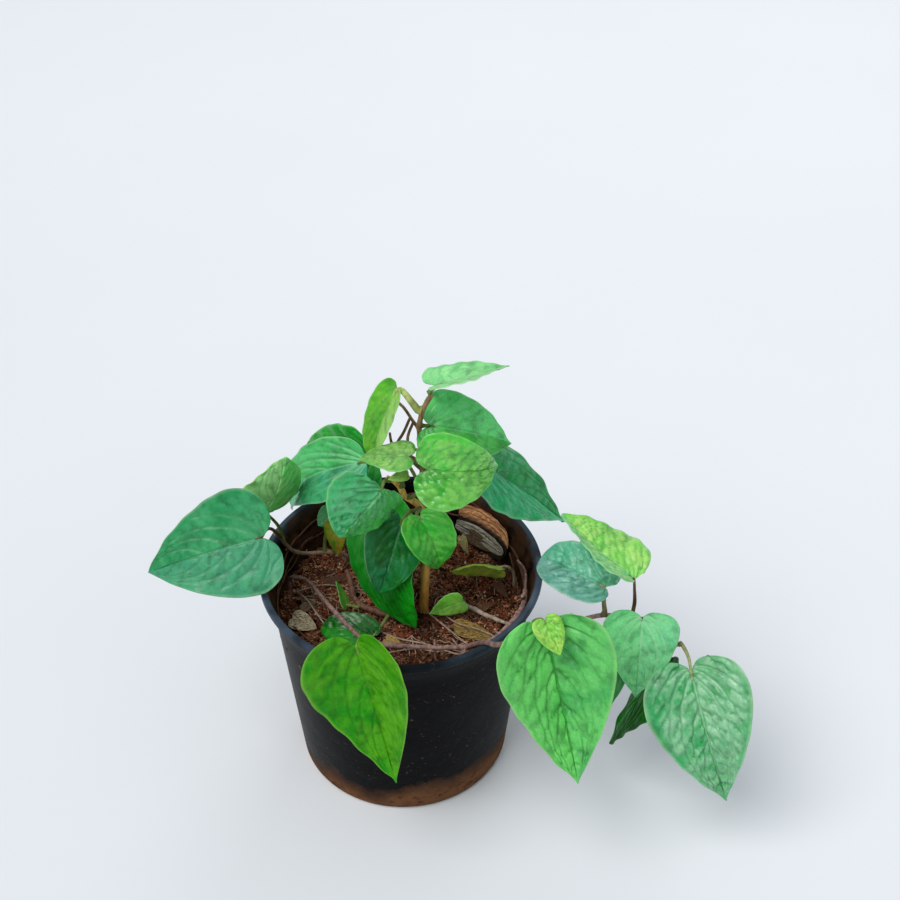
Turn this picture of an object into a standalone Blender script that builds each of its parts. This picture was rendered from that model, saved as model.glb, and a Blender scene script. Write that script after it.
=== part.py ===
"""Potted betel plant: a young heart-leaved vine in a 150 mm nursery pot.

Metres, +Z up.  The origin is the centre of the pot's flat underside, and -Y is
the front, where two large leaves hang over the rim.  Every leaf is one node,
with its petiole, and every stem is one node, rooted in a plain hole in the soil.
"""
import math

import bpy
import bmesh
from mathutils import Vector, noise

MM = 0.001

# Nursery pot
POT_HEIGHT = 127 * MM
RIM_RADIUS = 74 * MM
BASE_RADIUS = 57.5 * MM
NECK_RADIUS = 68 * MM
COLLAR_LOW = 111 * MM
POT_WALL = 1.2 * MM
LIP_WIDTH = 2 * MM
LIP_DROP = 4 * MM
FOOT_BEVEL = 2.5 * MM
POT_SEGMENTS = 40
DRAIN_HOLES = 6
DRAIN_RADIUS = 2.7 * MM
DRAIN_RING = 42 * MM

# Potting soil
SOIL_EDGE = 98 * MM
SOIL_MOUND = 3 * MM
SOIL_RELIEF = 1.2 * MM
LUMP_SIZE = 9 * MM
SOIL_RINGS = 8

# Leaves and stems
BLADE = 0.8 * MM
EAR = 0.42
PETIOLE_ROOT = 1.1 * MM
PETIOLE_TIP = 0.7 * MM
MIDRIB_SHARE = 0.22
ROOT_DEPTH = 9 * MM
GAP = 0.3 * MM


def point(*millimetres):
    return Vector(millimetres) * MM


def clear_scene():
    for item in list(bpy.data.objects):
        bpy.data.objects.remove(item, do_unlink=True)


def collection(name):
    group = bpy.data.collections.new(name)
    bpy.context.scene.collection.children.link(group)
    return group


def material(name, colour, roughness=0.5, metallic=0.0):
    made = bpy.data.materials.new(name)
    made.use_nodes = True
    shader = made.node_tree.nodes["Principled BSDF"]
    shader.inputs["Base Color"].default_value = (*colour, 1.0)
    shader.inputs["Roughness"].default_value = roughness
    shader.inputs["Metallic"].default_value = metallic
    made.diffuse_color = (*colour, 1.0)
    return made


def add_object(name, data, group, finish=None):
    item = bpy.data.objects.new(name, data)
    group.objects.link(item)
    if finish is not None:
        data.materials.clear()
        data.materials.append(finish)
    return item


def made_mesh(item, weld=1e-6):
    """The object's evaluated shape as a plain closed mesh in its own place."""
    bpy.context.view_layer.update()
    graph = bpy.context.evaluated_depsgraph_get()
    mesh = bpy.data.meshes.new_from_object(item.evaluated_get(graph))
    mesh.transform(item.matrix_world)
    shape = bmesh.new()
    shape.from_mesh(mesh)
    bmesh.ops.remove_doubles(shape, verts=shape.verts, dist=weld)
    shape.to_mesh(mesh)
    shape.free()
    bpy.data.objects.remove(item, do_unlink=True)
    return mesh


def boolean(item, operation, other, solver="EXACT"):
    """One Boolean with an object or a whole collection, applied."""
    cut = item.modifiers.new(operation.lower(), "BOOLEAN")
    cut.operation = operation
    cut.solver = solver
    if isinstance(other, bpy.types.Collection):
        cut.operand_type = "COLLECTION"
        cut.collection = other
    else:
        cut.object = other
    bpy.context.view_layer.update()
    graph = bpy.context.evaluated_depsgraph_get()
    mesh = bpy.data.meshes.new_from_object(item.evaluated_get(graph))
    item.modifiers.clear()
    old = item.data
    item.data = mesh
    bpy.data.meshes.remove(old)


def smooth_route(points, steps=3):
    """A Catmull-Rom curve through the route's points."""
    ends = [points[0] * 2 - points[1]] + list(points) + [points[-1] * 2 - points[-2]]
    route = []
    for i in range(1, len(ends) - 2):
        a, b, c, d = ends[i - 1:i + 3]
        for k in range(steps):
            t = k / steps
            route.append(0.5 * (2 * b + (c - a) * t + (2 * a - 5 * b + 4 * c - d) * t ** 2
                                + (3 * b - a - 3 * c + d) * t ** 3))
    route.append(points[-1].copy())
    return route


def tube_mesh(name, route, thick, thin, group, resolution=2):
    """A tapering stem along the route, as a closed mesh."""
    curve = bpy.data.curves.new(name, "CURVE")
    curve.dimensions = "3D"
    curve.bevel_depth = 1.0
    curve.bevel_resolution = resolution
    curve.use_fill_caps = True
    spline = curve.splines.new("POLY")
    spline.points.add(len(route) - 1)
    for i, place in enumerate(route):
        spline.points[i].co = (*place, 1.0)
        spline.points[i].radius = thick + (thin - thick) * i / (len(route) - 1)
    item = bpy.data.objects.new(name, curve)
    group.objects.link(item)
    return made_mesh(item)


# Pot and soil

def wall_radius(z):
    """Outer radius of the pot's tapering wall, which flares into a collar under the lip."""
    if z < COLLAR_LOW:
        return BASE_RADIUS + (NECK_RADIUS - BASE_RADIUS) * z / COLLAR_LOW
    flare = (z - COLLAR_LOW) / (POT_HEIGHT - COLLAR_LOW)
    return NECK_RADIUS + (RIM_RADIUS - LIP_WIDTH - NECK_RADIUS) * flare


def pot_profile():
    """Outer side from the rim down, then the floor, then the inner side up."""
    top = POT_HEIGHT
    lip = RIM_RADIUS
    under = wall_radius(top - LIP_DROP)
    inner = wall_radius(top) - POT_WALL
    bottom = wall_radius(POT_WALL) - POT_WALL
    return [
        (inner, top - 0.4 * MM), (inner + 0.8 * MM, top), (lip - 1.0 * MM, top),
        (lip, top - 1.2 * MM), (lip, top - LIP_DROP + MM), (lip - 0.8 * MM, top - LIP_DROP),
        (under, top - LIP_DROP), (NECK_RADIUS, COLLAR_LOW),
        (wall_radius(FOOT_BEVEL), FOOT_BEVEL), (BASE_RADIUS - FOOT_BEVEL, 0), (0, 0),
        (0, POT_WALL), (bottom, POT_WALL), (NECK_RADIUS - POT_WALL, COLLAR_LOW)]


def turned(name, profile, segments, group):
    """A profile given from its upper outer end down, turned round +Z."""
    mesh = bpy.data.meshes.new(name)
    shape = bmesh.new()
    verts = [shape.verts.new((r, 0, z)) for r, z in profile]
    for a, b in zip(verts, verts[1:] + verts[:1]):
        if a.co.x > 0 or b.co.x > 0:
            shape.edges.new((a, b))
    shape.to_mesh(mesh)
    shape.free()
    item = bpy.data.objects.new(name, mesh)
    group.objects.link(item)
    screw = item.modifiers.new("turn", "SCREW")
    screw.steps = segments
    screw.render_steps = segments
    screw.use_merge_vertices = True
    screw.merge_threshold = 0.00001
    return made_mesh(item)


def closed_out(mesh):
    """Merge the axis points and turn every face outwards."""
    shape = bmesh.new()
    shape.from_mesh(mesh)
    bmesh.ops.remove_doubles(shape, verts=shape.verts, dist=1e-6)
    bmesh.ops.dissolve_degenerate(shape, edges=shape.edges, dist=1e-7)
    bmesh.ops.recalc_face_normals(shape, faces=shape.faces)
    shape.to_mesh(mesh)
    shape.free()
    return mesh


def rod_cutter(name, x, y, low, high, radius, group, sides=12):
    mesh = bpy.data.meshes.new(name)
    shape = bmesh.new()
    bmesh.ops.create_cone(shape, cap_ends=True, segments=sides, radius1=radius, radius2=radius,
                          depth=high - low)
    shape.to_mesh(mesh)
    shape.free()
    item = add_object(name, mesh, group)
    item.location = (x, y, (low + high) / 2)
    item.hide_render = True
    item.display_type = "WIRE"
    return item


def build_pot(parts, cutters):
    mesh = closed_out(turned("pot", pot_profile(), POT_SEGMENTS, parts))
    pot = add_object("pot", mesh, parts, material("black_plastic", (0.02, 0.022, 0.028), 0.45))
    for i in range(DRAIN_HOLES):
        turn = 2 * math.pi * (i + 0.5) / DRAIN_HOLES
        hole = rod_cutter("drain_%d" % i, DRAIN_RING * math.cos(turn), DRAIN_RING * math.sin(turn),
                          -MM, POT_WALL + MM, DRAIN_RADIUS, cutters)
        boolean(pot, "DIFFERENCE", hole, solver="MANIFOLD")


def soil_height(x, y):
    """Lumpy mounded top of the soil."""
    inner = wall_radius(SOIL_EDGE) - POT_WALL - GAP
    share = min(math.hypot(x, y) / inner, 1)
    lumps = noise.noise(Vector((x, y, 0.37)) / LUMP_SIZE)
    return SOIL_EDGE + SOIL_MOUND * (1 - share ** 2) + SOIL_RELIEF * lumps


def build_soil(parts, cutters, rooted):
    """The root ball, with a plain hole for every stem that grows out of it."""
    outer = wall_radius(SOIL_EDGE) - POT_WALL - GAP
    low = POT_WALL + GAP
    bottom = wall_radius(low) - POT_WALL - GAP
    top = [(outer * i / SOIL_RINGS, SOIL_EDGE) for i in range(SOIL_RINGS + 1)]
    side = [(outer + (bottom - outer) * k / 2, SOIL_EDGE + (low - SOIL_EDGE) * k / 2) for k in (1, 2)]
    mesh = closed_out(turned("soil", top + side + [(0, low)], POT_SEGMENTS, parts))
    for vert in mesh.vertices:
        if vert.co.z > SOIL_EDGE - 0.1 * MM:
            vert.co.z = soil_height(vert.co.x, vert.co.y)
    soil = add_object("soil", mesh, parts, material("coco_peat", (0.09, 0.035, 0.02), 0.95))
    for name, foot, radius in rooted:
        hole = rod_cutter("hole_" + name, foot.x, foot.y, foot.z - GAP, SOIL_EDGE + 12 * MM,
                          radius + 2 * GAP, cutters)
        boolean(soil, "DIFFERENCE", hole)


# Stems: each is a list of runs (route points, thick radius, thin radius) joined in one node

STEMS = {
    "stem_main": [
        ([(12, -7, 98), (12, -7, 106), (12.5, -7, 119), (13, -6.5, 131), (14, -1, 146),
          (13, 3, 158), (9, 1, 168), (4, -4, 176), (2, -7, 183), (-1, -8, 189), (-5, -9, 193)],
         2.6, 1.2)],
    "stem_back": [
        ([(12, 12, 98), (12, 12, 108), (12, 12, 125), (12, 11, 145), (12, 10, 170), (12, 8, 190),
          (11, 5, 204), (11, 1, 212), (11, -2, 220), (13, -3, 230), (17, -1, 237)], 2.0, 1.2),
        ([(11, 5, 204), (10, 9, 209), (7, 9, 215), (3, 12, 220), (-1, 15, 222)], 0.9, 0.7),
        ([(12, 8, 188), (6, 9, 192), (-2, 8, 197), (0, 8, 202), (3, 8, 208), (6, 8, 216)], 0.9, 0.7),
        ([(-2, 8, 197), (-3.5, 9, 202), (-4, 10, 206)], 0.8, 0.6),
        ([(11.5, 7, 196), (6, 6, 201), (5, 7, 206), (8, 9, 214)], 0.8, 0.7)],
    "stem_brown": [
        ([(4, -15, 98), (4, -15, 104), (-2, -17, 107), (-10, -15, 107), (-19, -10, 106),
          (-25, -3, 106), (-27, 6, 106.5), (-30, 16, 108)], 1.7, 1.4)],
    "runner_left": [
        ([(-31, 32, 98), (-31, 32, 103.5), (-34, 32.5, 106), (-41, 32, 107), (-52, 30, 108),
          (-58.5, 27, 112), (-62.5, 24.5, 119), (-65, 21, 128), (-67, 19, 132)], 1.1, 1.1)],
    "runner_front": [
        ([(-61, 13, 98), (-61, 13, 104), (-58, 10, 109), (-49, 3, 112), (-36, -19, 115),
          (-24, -38, 118), (-16, -50, 122), (-6, -52, 121), (7, -50, 118), (19, -50, 117),
          (36, -49, 117), (47, -44.5, 117.5), (54.5, -36.5, 118), (60.3, -28, 118.5),
          (63.2, -21, 118.5), (64.3, -15, 118), (64.8, -9, 117.5)], 1.0, 1.3),
        ([(64.6, -12, 118), (65.2, -5, 117), (65.8, 3, 116.5), (65, 11, 115), (62, 18, 114)],
         0.8, 0.6),
        ([(34, -49.2, 117), (39, -54, 124), (43, -60, 131.5), (48, -63.5, 133), (56, -61, 132.5),
          (66, -55, 131), (76, -46, 128), (90, -36, 122), (104, -28, 118), (120, -25, 113),
          (130, -27, 110), (138, -31, 107), (142, -37, 105)], 1.4, 1.1),
        ([(18, -49.5, 117.5), (18, -46, 118.5)], 0.7, 0.5),
        ([(18, -50.5, 116.5), (18.5, -52, 111)], 0.7, 0.5),
        ([(30, -49.5, 117), (27, -44, 117)], 0.6, 0.4),
        ([(64, -15, 118), (63, -18, 121), (62.8, -20, 124)], 1.4, 0.9)],
    "twig_dry": [
        ([(34, -8, 98), (34, -8, 104), (38, -11, 106), (44, -16, 106.5), (50, -20, 107),
          (56, -24, 107.5)], 1.7, 0.8)],
}

STEM_FINISH = {
    "stem_main": ("stem_orange", (0.36, 0.15, 0.05)),
    "stem_back": ("stem_woody", (0.10, 0.05, 0.03)),
    "stem_brown": ("stem_brown", (0.22, 0.09, 0.06)),
    "runner_left": ("runner_tan", (0.45, 0.28, 0.20)),
    "runner_front": ("runner_pink", (0.50, 0.26, 0.22)),
    "twig_dry": ("twig_grey", (0.38, 0.28, 0.24)),
}

ROOTED = ("stem_main", "stem_back", "stem_brown", "runner_left", "runner_front", "twig_dry")


def stem_route(name, run=0, steps=3):
    """A run's smooth route; a rooted stem first goes straight down into its hole."""
    points = [point(*place) for place in STEMS[name][run][0]]
    if run == 0 and name in ROOTED:
        foot = points[0] - Vector((0, 0, ROOT_DEPTH))
        return [foot] + smooth_route(points, steps)
    return smooth_route(points, steps)


def nearest_stem(name, place):
    """A stem's closest centre point to a place, its direction and its radius there."""
    found = []
    for i, (_, thick, thin) in enumerate(STEMS[name]):
        route = stem_route(name, i, 2)
        for k, (a, b) in enumerate(zip(route, route[1:])):
            run = b - a
            share = min(max((place - a).dot(run) / run.length_squared, 0), 1)
            centre = a + run * share
            radius = thick + (thin - thick) * (k + share) / (len(route) - 1)
            found.append(((centre - place).length, i, k, centre, run.normalized(), radius * MM))
    return min(found)[3:]


def build_stems(parts):
    rooted = []
    for name, runs in STEMS.items():
        finish = material(*STEM_FINISH[name], roughness=0.7)
        spare = collection("runs")
        pieces = []
        for i, (_, thick, thin) in enumerate(runs):
            mesh = tube_mesh(name, stem_route(name, i, 2), thick * MM, thin * MM, parts,
                             resolution=2 if i == 0 else 1)
            pieces.append(add_object("%s_run_%d" % (name, i), mesh, spare, finish))
        stem = add_object(name, pieces[0].data, parts, finish)
        bpy.data.objects.remove(pieces[0], do_unlink=True)
        if len(pieces) > 1:
            boolean(stem, "UNION", spare)
        for item in list(spare.objects):
            bpy.data.objects.remove(item, do_unlink=True)
        bpy.data.collections.remove(spare)
        if name in ROOTED:
            rooted.append((name, stem_route(name)[0], runs[0][1] * MM))
    return rooted


# Leaves.  base is where the petiole meets the blade, face the azimuth (0 to the
# front, + to the right) and height angle that the upper side looks to, fold the
# angle that each half turns up by, bow the arch along the midrib and camber the
# curl of each half, as shares of length and half width.

def leaf(base, tip, width, face, fold=(5, 5), bow=0.05, lobe=0.12, taper=1.0, camber=0.1,
         wave=0.02, on="stem_main", near=None, via=(), cells=(6, 6), green="green"):
    return dict(base=point(*base), tip=point(*tip), width=width * MM, face=face, fold=fold, bow=bow,
                lobe=lobe, taper=taper, camber=camber, wave=wave, on=on, near=near,
                via=[point(*place) for place in via], cells=cells, green=green)


LEAVES = {
    "leaf_left_large": leaf(
        (-69.5, -9, 154), (-129.5, -10, 131), 54, (-18, 44), (-10, 15), 0.05, 0.12, 0.95, -0.05,
        on="runner_left", near=(-66, 20, 130), via=[(-67, 10, 143), (-68, -1, 152)], cells=(9, 6),
        green="teal"),
    "leaf_left_folded": leaf(
        (-70, 15, 150), (-58, 21, 182), 43, (24, 2), (18, -24), 0.08, 0.0, 0.80, 0.25,
        on="runner_left", near=(-63.8, 23, 124), via=[(-66, 24.5, 133), (-69, 20, 143)], cells=(8, 6),
        green="light"),
    "leaf_back_wavy": leaf(
        (-18, 25, 176), (-62, 54, 119), 35, (-70, 40), (0, 40), 0.18, 0.02, 1.0, 0.08,
        on="stem_back", near=(12, 8.5, 184), via=[(2, 17, 187), (-9, 23, 185)], cells=(9, 6),
        green="green"),
    "leaf_back_dark": leaf(
        (-16, 40, 168), (-53, 68, 150), 43, (-35, 0), (8, 15), 0.03, 0.08, 0.88, 0.10,
        on="stem_back", near=(12, 10, 168), via=[(4, 27, 172), (-8, 38, 173)], cells=(8, 6),
        green="dark"),
    "leaf_top_hanging": leaf(
        (0, 4.5, 235.5), (-12.5, 13.5, 183.5), 21, (-48, 7), (34, 24), 0.07, 0.08, 0.6, 0.10,
        on="stem_back", near=(12.5, -3, 229), via=[(7, -3, 235), (3, 1.5, 237.5)], cells=(8, 6),
        green="lime"),
    "leaf_top_pale": leaf(
        (20, 2, 241), (54, 13, 244), 28, (-141, 77), (13, 16), 0.01, 0.16, 0.98, 0.02,
        on="stem_back", near=(17, -1, 237), via=[(18, 0.5, 239.5)], cells=(7, 6), green="pale"),
    "leaf_upper_right": leaf(
        (16, -1, 218.5), (56, 9, 200), 37, (34, 38), (8, 8), 0.12, 0.11, 1.04, 0.08,
        on="stem_back", near=(11, -2, 219), via=[(14.6, -1.5, 219)], cells=(8, 6), green="green"),
    "leaf_right_teal": leaf(
        (35, 10, 192), (88, 38, 124), 57, (71, 31), (10, 33), 0.02, 0.02, 1.14, 0.40,
        on="stem_back", near=(12, 8, 189), via=[(25, 9, 194)], cells=(9, 6), green="teal"),
    "leaf_centre_round": leaf(
        (15, -19, 206), (49, -6, 198), 39, (25, 17), (11, 26), 0.16, 0.17, 0.90, 0.04,
        on="stem_main", near=(4, -5, 177), via=[(10, -12, 186), (13, -17, 197)], cells=(8, 6),
        green="bright"),
    "leaf_crown_small": leaf(
        (5, -11.5, 207.5), (-18, -8.5, 204.5), 20, (-45, 78), (8, 6), 0.02, 0.16, 0.88, 0.04,
        on="stem_main", near=(0, -7.5, 186), via=[(2, -12, 197)], cells=(6, 4), green="lime"),
    "leaf_centre_left": leaf(
        (-7, -20.2, 194.8), (-28, -29.2, 171.8), 44, (20, 0), (-15, -8), 0.02, 0.04, 0.70, 0.10,
        on="stem_main", near=(-4.5, -9, 192.5), via=[(-6, -14, 195)], cells=(8, 6),
        green="teal"),
    "leaf_centre_small": leaf(
        (11, -15, 172), (20, -23, 146), 27, (35, 25), (40, 6), 0.16, 0.13, 0.76, 0.0,
        on="stem_main", near=(7, -4, 163), via=[(9, -10, 170)], cells=(7, 6), green="bright"),
    "leaf_middle_teal": leaf(
        (1, -4, 160), (-10, -26, 131), 32, (12, 34), (9, 7), 0.05, 0.13, 0.74, 0.12,
        on="stem_main", near=(8.5, -1, 163), via=[(5, -1, 164)], cells=(7, 6), green="teal"),
    "leaf_inner_long": leaf(
        (-12, 11, 148), (8, -23, 104), 44, (-37, 20), (5, 11), 0.16, 0.15, 0.90, 0.20,
        on="stem_back", near=(12, 12, 136), via=[(0, 15, 146)], cells=(8, 6), green="deep"),
    "leaf_inner_yellow": leaf(
        (-36, 27, 132), (-34, 22, 114), 13, (-20, 10), (3, 2), 0.08, 0.11, 0.96, 0.14,
        on="runner_left", near=(-38, 32, 107), via=[(-38, 32, 120), (-37.5, 31, 130)],
        cells=(5, 4), green="lime"),
    "leaf_inner_grey": leaf(
        (-38, 39, 130), (-46, 37, 122), 12, (-11, 25), (12, 7), 0.10, 0.12, 0.87, 0.05,
        on="runner_left", near=(-43, 32, 107), via=[(-42, 36, 118), (-39, 40, 127)],
        cells=(5, 4), green="teal"),
    "leaf_soil_right": leaf(
        (32, -16, 116), (15, -17, 108), 14, (5, 10), (4, 6), -0.03, 0.08, 0.98, 0.10,
        on="twig_dry", near=(35, -8.5, 104), via=[(34, -14, 112)], cells=(5, 4), green="lime"),
    "leaf_soil_narrow": leaf(
        (52, 14, 112), (26, 13, 110), 21, (5, -33), (24, 19), -0.10, 0.12, 0.63, 0.0,
        on="soil", near=(60.5, 15.5, 98), via=[(59.5, 15.5, 108), (56.5, 15, 112)], cells=(5, 4),
        green="lime"),
    "leaf_soil_glossy": leaf(
        (-14, -30, 105), (-41, -23, 104), 21, (-24, 75), (8, 36), 0.12, 0.12, 0.57, 0.20,
        on="stem_brown", near=(-6, -16, 107), via=[(-9, -24, 108)], cells=(7, 6), green="dark"),
    "leaf_soil_tiny": leaf(
        (-29, -9, 107), (-34, -4, 119), 10, (81, 24), (8, 5), 0.01, 0.14, 1.01, 0.09,
        on="stem_brown", near=(-21, -8, 105.5), via=[(-25, -9, 106)], cells=(5, 4),
        green="light"),
    "leaf_front_left": leaf(
        (-19, -72, 140), (-1, -93, 66), 51, (-10, 18), (22, 20), -0.02, 0.12, 1.14, -0.34,
        on="runner_front", near=(-16, -50, 122), via=[(-17, -58, 132), (-18, -66, 139)],
        cells=(9, 6), green="bright"),
    "leaf_front_right": leaf(
        (72, -60, 138), (89, -95, 68), 66, (-10, 24), (16, 50), -0.03, 0.12, 1.05, -0.10,
        on="runner_front", near=(74, -48, 129), via=[(73, -55, 135)], cells=(9, 6),
        green="light"),
    "leaf_front_bud": leaf(
        (71, -64, 149), (78, -75, 138), 15, (11, 48), (10, 10), 0.07, 0.15, 0.84, 0.07,
        on="runner_front", near=(66, -55, 131), via=[(66, -57, 142), (69, -61, 148)],
        cells=(5, 4), green="lime"),
    "leaf_vine_middle": leaf(
        (123, -33, 121), (121, -50, 81), 38, (2, 18), (12, -4), 0.04, 0.08, 1.06, 0.06,
        on="runner_front", near=(122, -25.5, 112.6), via=[(123, -31, 118)], cells=(8, 6),
        green="light"),
    "leaf_vine_end": leaf(
        (147, -52, 102), (167, -85, 42), 56, (-11, 26), (17, 28), 0.10, 0.10, 1.12, -0.10,
        on="runner_front", near=(142, -37, 105), via=[(145, -40, 106), (146.5, -46, 105)],
        cells=(9, 6), green="teal"),
    "leaf_vine_hanging": leaf(
        (140, -28, 85), (113, -34, 26), 48, (-95, 23), (2, -5), 0.02, 0.14, 1.03, 0.12,
        on="runner_front", near=(134, -28.5, 108.5), via=[(138, -27, 98)], cells=(8, 6),
        green="deep"),
    "leaf_vine_behind": leaf(
        (110, -20, 92), (109, -32, 46), 30, (-3, 15), (7, 3), -0.03, 0.15, 1.13, 0.11,
        on="runner_front", near=(108, -26.5, 117), via=[(109, -20, 106)], cells=(7, 6),
        green="deep"),
    "leaf_vine_quilted": leaf(
        (103, -28, 138), (73, -2, 134), 32, (-51, 59), (28, 8), 0.06, 0.14, 0.48, 0.0,
        on="runner_front", near=(104, -28, 118), via=[(103.5, -28.5, 128)], cells=(8, 6),
        green="teal"),
    "leaf_vine_bright": leaf(
        (117, -33, 148), (82, -6, 167), 38, (80, 62), (24, 21), -0.03, 0.02, 0.85, 0.0,
        on="runner_front", near=(119, -25, 113.5), via=[(120.5, -20.5, 120), (118.5, -27, 136)],
        cells=(8, 6), green="bright"),
}

# Dead leaves and bark lying in the pot, shaped like small blades without a petiole

SCRAPS = {
    "bark_strip": (leaf((30.2, 56.8, 110.6), (56.8, 30.2, 110.6), 24, (-45, 15), (0, 0), -0.06, 0.0,
                        0.35, 0.0, cells=(7, 4)), (0.42, 0.15, 0.07)),
    "strip_grey": (leaf((29.1, 55, 108.1), (54.7, 29.6, 108.1), 9, (-45, 15), (0, 0), -0.0625, 0.0,
                        0.35, 0.0, cells=(7, 4)), (0.30, 0.22, 0.18)),
    "leaf_dead_olive": (leaf((28, -19, 101.1), (50, -29, 101.1), 10, (-10, 70), (12, 18), 0.0, 0.05, 0.8,
                             0.0, cells=(6, 4)), (0.18, 0.15, 0.06)),
    "leaf_dead_grey": (leaf((-57, -14, 101.75), (-44, -20, 100.25), 11, (15, 55), (10, 20), 0.05, 0.05,
                            0.8, 0.0, cells=(5, 4)), (0.34, 0.28, 0.22)),
}

GREENS = {
    "teal": (0.03, 0.22, 0.10),
    "green": (0.05, 0.28, 0.08),
    "bright": (0.08, 0.36, 0.04),
    "light": (0.10, 0.38, 0.13),
    "lime": (0.20, 0.45, 0.06),
    "pale": (0.22, 0.60, 0.22),
    "deep": (0.01, 0.13, 0.04),
    "dark": (0.01, 0.10, 0.02),
}


def outline_share(s, taper):
    """Half width of the blade at the row s, 0 at the petiole and 1 at the tip."""
    peak = 0.5 / (0.5 + taper)
    top = peak ** 0.5 * (1 - peak) ** taper
    heart = EAR * (1 - s) ** 3
    body = s ** 0.5 * (1 - s) ** taper / top * (1 - EAR * (1 - peak) ** 3)
    return heart + body


def blade_frame(form):
    """Length, forward, side and face directions of a leaf."""
    run = form["tip"] - form["base"]
    forward = run.normalized()
    turn, rise = (math.radians(angle) for angle in form["face"])
    face = Vector((math.cos(rise) * math.sin(turn), -math.cos(rise) * math.cos(turn),
                   math.sin(rise)))
    face = (face - face.dot(forward) * forward).normalized()
    return run.length, forward, forward.cross(face), face


def blade_point(form, s, t):
    """Point of the blade's middle surface: s along it, t across from -1 to 1."""
    length, forward, side, face = blade_frame(form)
    across = abs(t)
    half = 0.5 * form["width"] * outline_share(s, form["taper"])
    along = s - form["lobe"] * (1 - s) * (1 - (1 - across) ** 2.5)
    fold = math.radians(form["fold"][0 if t < 0 else 1])
    reach = half * across
    lift = reach * math.sin(fold) - form["camber"] * reach ** 2 / (0.5 * form["width"])
    lift += form["bow"] * length * math.sin(math.pi * max(along, -0.5))
    lift += form["wave"] * form["width"] * across ** 3 * math.sin(3 * math.pi * s + 1.5 * (t < 0))
    offset = math.copysign(reach * math.cos(fold), t)
    return form["base"] + along * length * forward + offset * side + lift * face


def blade_mesh(name, form, parts):
    """A grid laid over the blade, denser at both ends, then thickened."""
    rows, columns = form["cells"]
    mesh = bpy.data.meshes.new(name)
    shape = bmesh.new()
    bmesh.ops.create_grid(shape, x_segments=rows, y_segments=columns, size=1)
    for vert in shape.verts:
        s = (1 - math.cos(math.pi * (vert.co.x + 1) / 2)) / 2
        vert.co = blade_point(form, s, vert.co.y)
    bmesh.ops.remove_doubles(shape, verts=shape.verts, dist=0.05 * MM)
    bmesh.ops.triangulate(shape, faces=shape.faces)
    shape.to_mesh(mesh)
    shape.free()
    item = bpy.data.objects.new(name, mesh)
    parts.objects.link(item)
    solid = item.modifiers.new("thickness", "SOLIDIFY")
    solid.thickness = BLADE
    solid.offset = 0
    return made_mesh(item)


def petiole_route(form):
    """From just off the stem, through the leaf's own points, into the blade's base."""
    near = point(*form["near"])
    first = form["via"][0]
    if form["on"] == "soil":
        start = [near - Vector((0, 0, ROOT_DEPTH)), near + Vector((0, 0, 4 * MM))]
    else:
        centre, along, radius = nearest_stem(form["on"], near)
        away = first - centre
        away = (away - away.dot(along) * along).normalized()
        start = [centre + away * (radius + GAP), centre + away * (radius + GAP + MM)]
    inner = blade_point(form, MIDRIB_SHARE, 0)
    steps = min(len(form["via"]), 2)
    return start[:1] + smooth_route([start[1]] + form["via"] + [form["base"]], steps) + [inner]


def build_leaf(name, form, parts):
    finish = material(name, GREENS[form["green"]], 0.4)
    blade = add_object(name, blade_mesh(name, form, parts), parts, finish)
    stalk = tube_mesh(name + "_petiole", petiole_route(form), PETIOLE_ROOT, PETIOLE_TIP, parts,
                      resolution=1)
    petiole = add_object(name + "_petiole", stalk, parts, finish)
    boolean(blade, "UNION", petiole)
    bpy.data.objects.remove(petiole, do_unlink=True)


def build_scraps(parts):
    for name, (form, colour) in SCRAPS.items():
        add_object(name, blade_mesh(name, form, parts), parts, material(name, colour, 0.8))


def main():
    clear_scene()
    parts = collection("potted_betel_plant")
    cutters = collection("cutters")
    build_pot(parts, cutters)
    rooted = build_stems(parts)
    for name, form in LEAVES.items():
        build_leaf(name, form, parts)
        if form["on"] == "soil":
            rooted.append((name, petiole_route(form)[0], PETIOLE_ROOT))
    build_scraps(parts)
    build_soil(parts, cutters, rooted)


main()
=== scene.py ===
"""The potted betel plant, dressed for rendering round its solids.

Metres, +Z up, with the centre of the pot's underside at the origin and the front
at -Y.  Every blade, stem, crumb and scrap takes the form of the solid that it
stands for, and adds the veins, quilting, bark and rootlets of the real plant.
"""
import math

import bpy
import bmesh
import numpy as np
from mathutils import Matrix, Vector, noise


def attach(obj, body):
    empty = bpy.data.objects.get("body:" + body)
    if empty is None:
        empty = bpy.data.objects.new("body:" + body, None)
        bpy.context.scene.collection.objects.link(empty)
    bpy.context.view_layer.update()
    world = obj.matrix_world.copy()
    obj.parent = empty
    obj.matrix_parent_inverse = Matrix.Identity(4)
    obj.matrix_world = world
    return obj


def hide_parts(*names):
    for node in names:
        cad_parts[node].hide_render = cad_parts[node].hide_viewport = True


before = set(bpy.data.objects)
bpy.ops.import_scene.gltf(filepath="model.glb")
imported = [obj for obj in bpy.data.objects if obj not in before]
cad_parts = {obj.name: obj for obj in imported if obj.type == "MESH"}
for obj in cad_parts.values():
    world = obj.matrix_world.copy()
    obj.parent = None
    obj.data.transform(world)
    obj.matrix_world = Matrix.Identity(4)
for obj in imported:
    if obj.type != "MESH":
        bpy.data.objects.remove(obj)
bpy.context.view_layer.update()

MM = 0.001

# Camera: a little above the plant, looking down on the soil

CAMERA_PLACE = (0.0257, -0.5477, 0.6295)
CAMERA_TILT = math.radians(52.09)
CAMERA_LENS = 56.8

# Light

SKY_LIGHT = 0.44
SKY_SEEN = 0.90
KEY_LIGHT = 2.0
KEY_SPREAD = math.radians(40)
KEY_PLACE = (-0.9, -0.7, 1.9)
FLOOR_REACH = 20

# Pot

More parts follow.
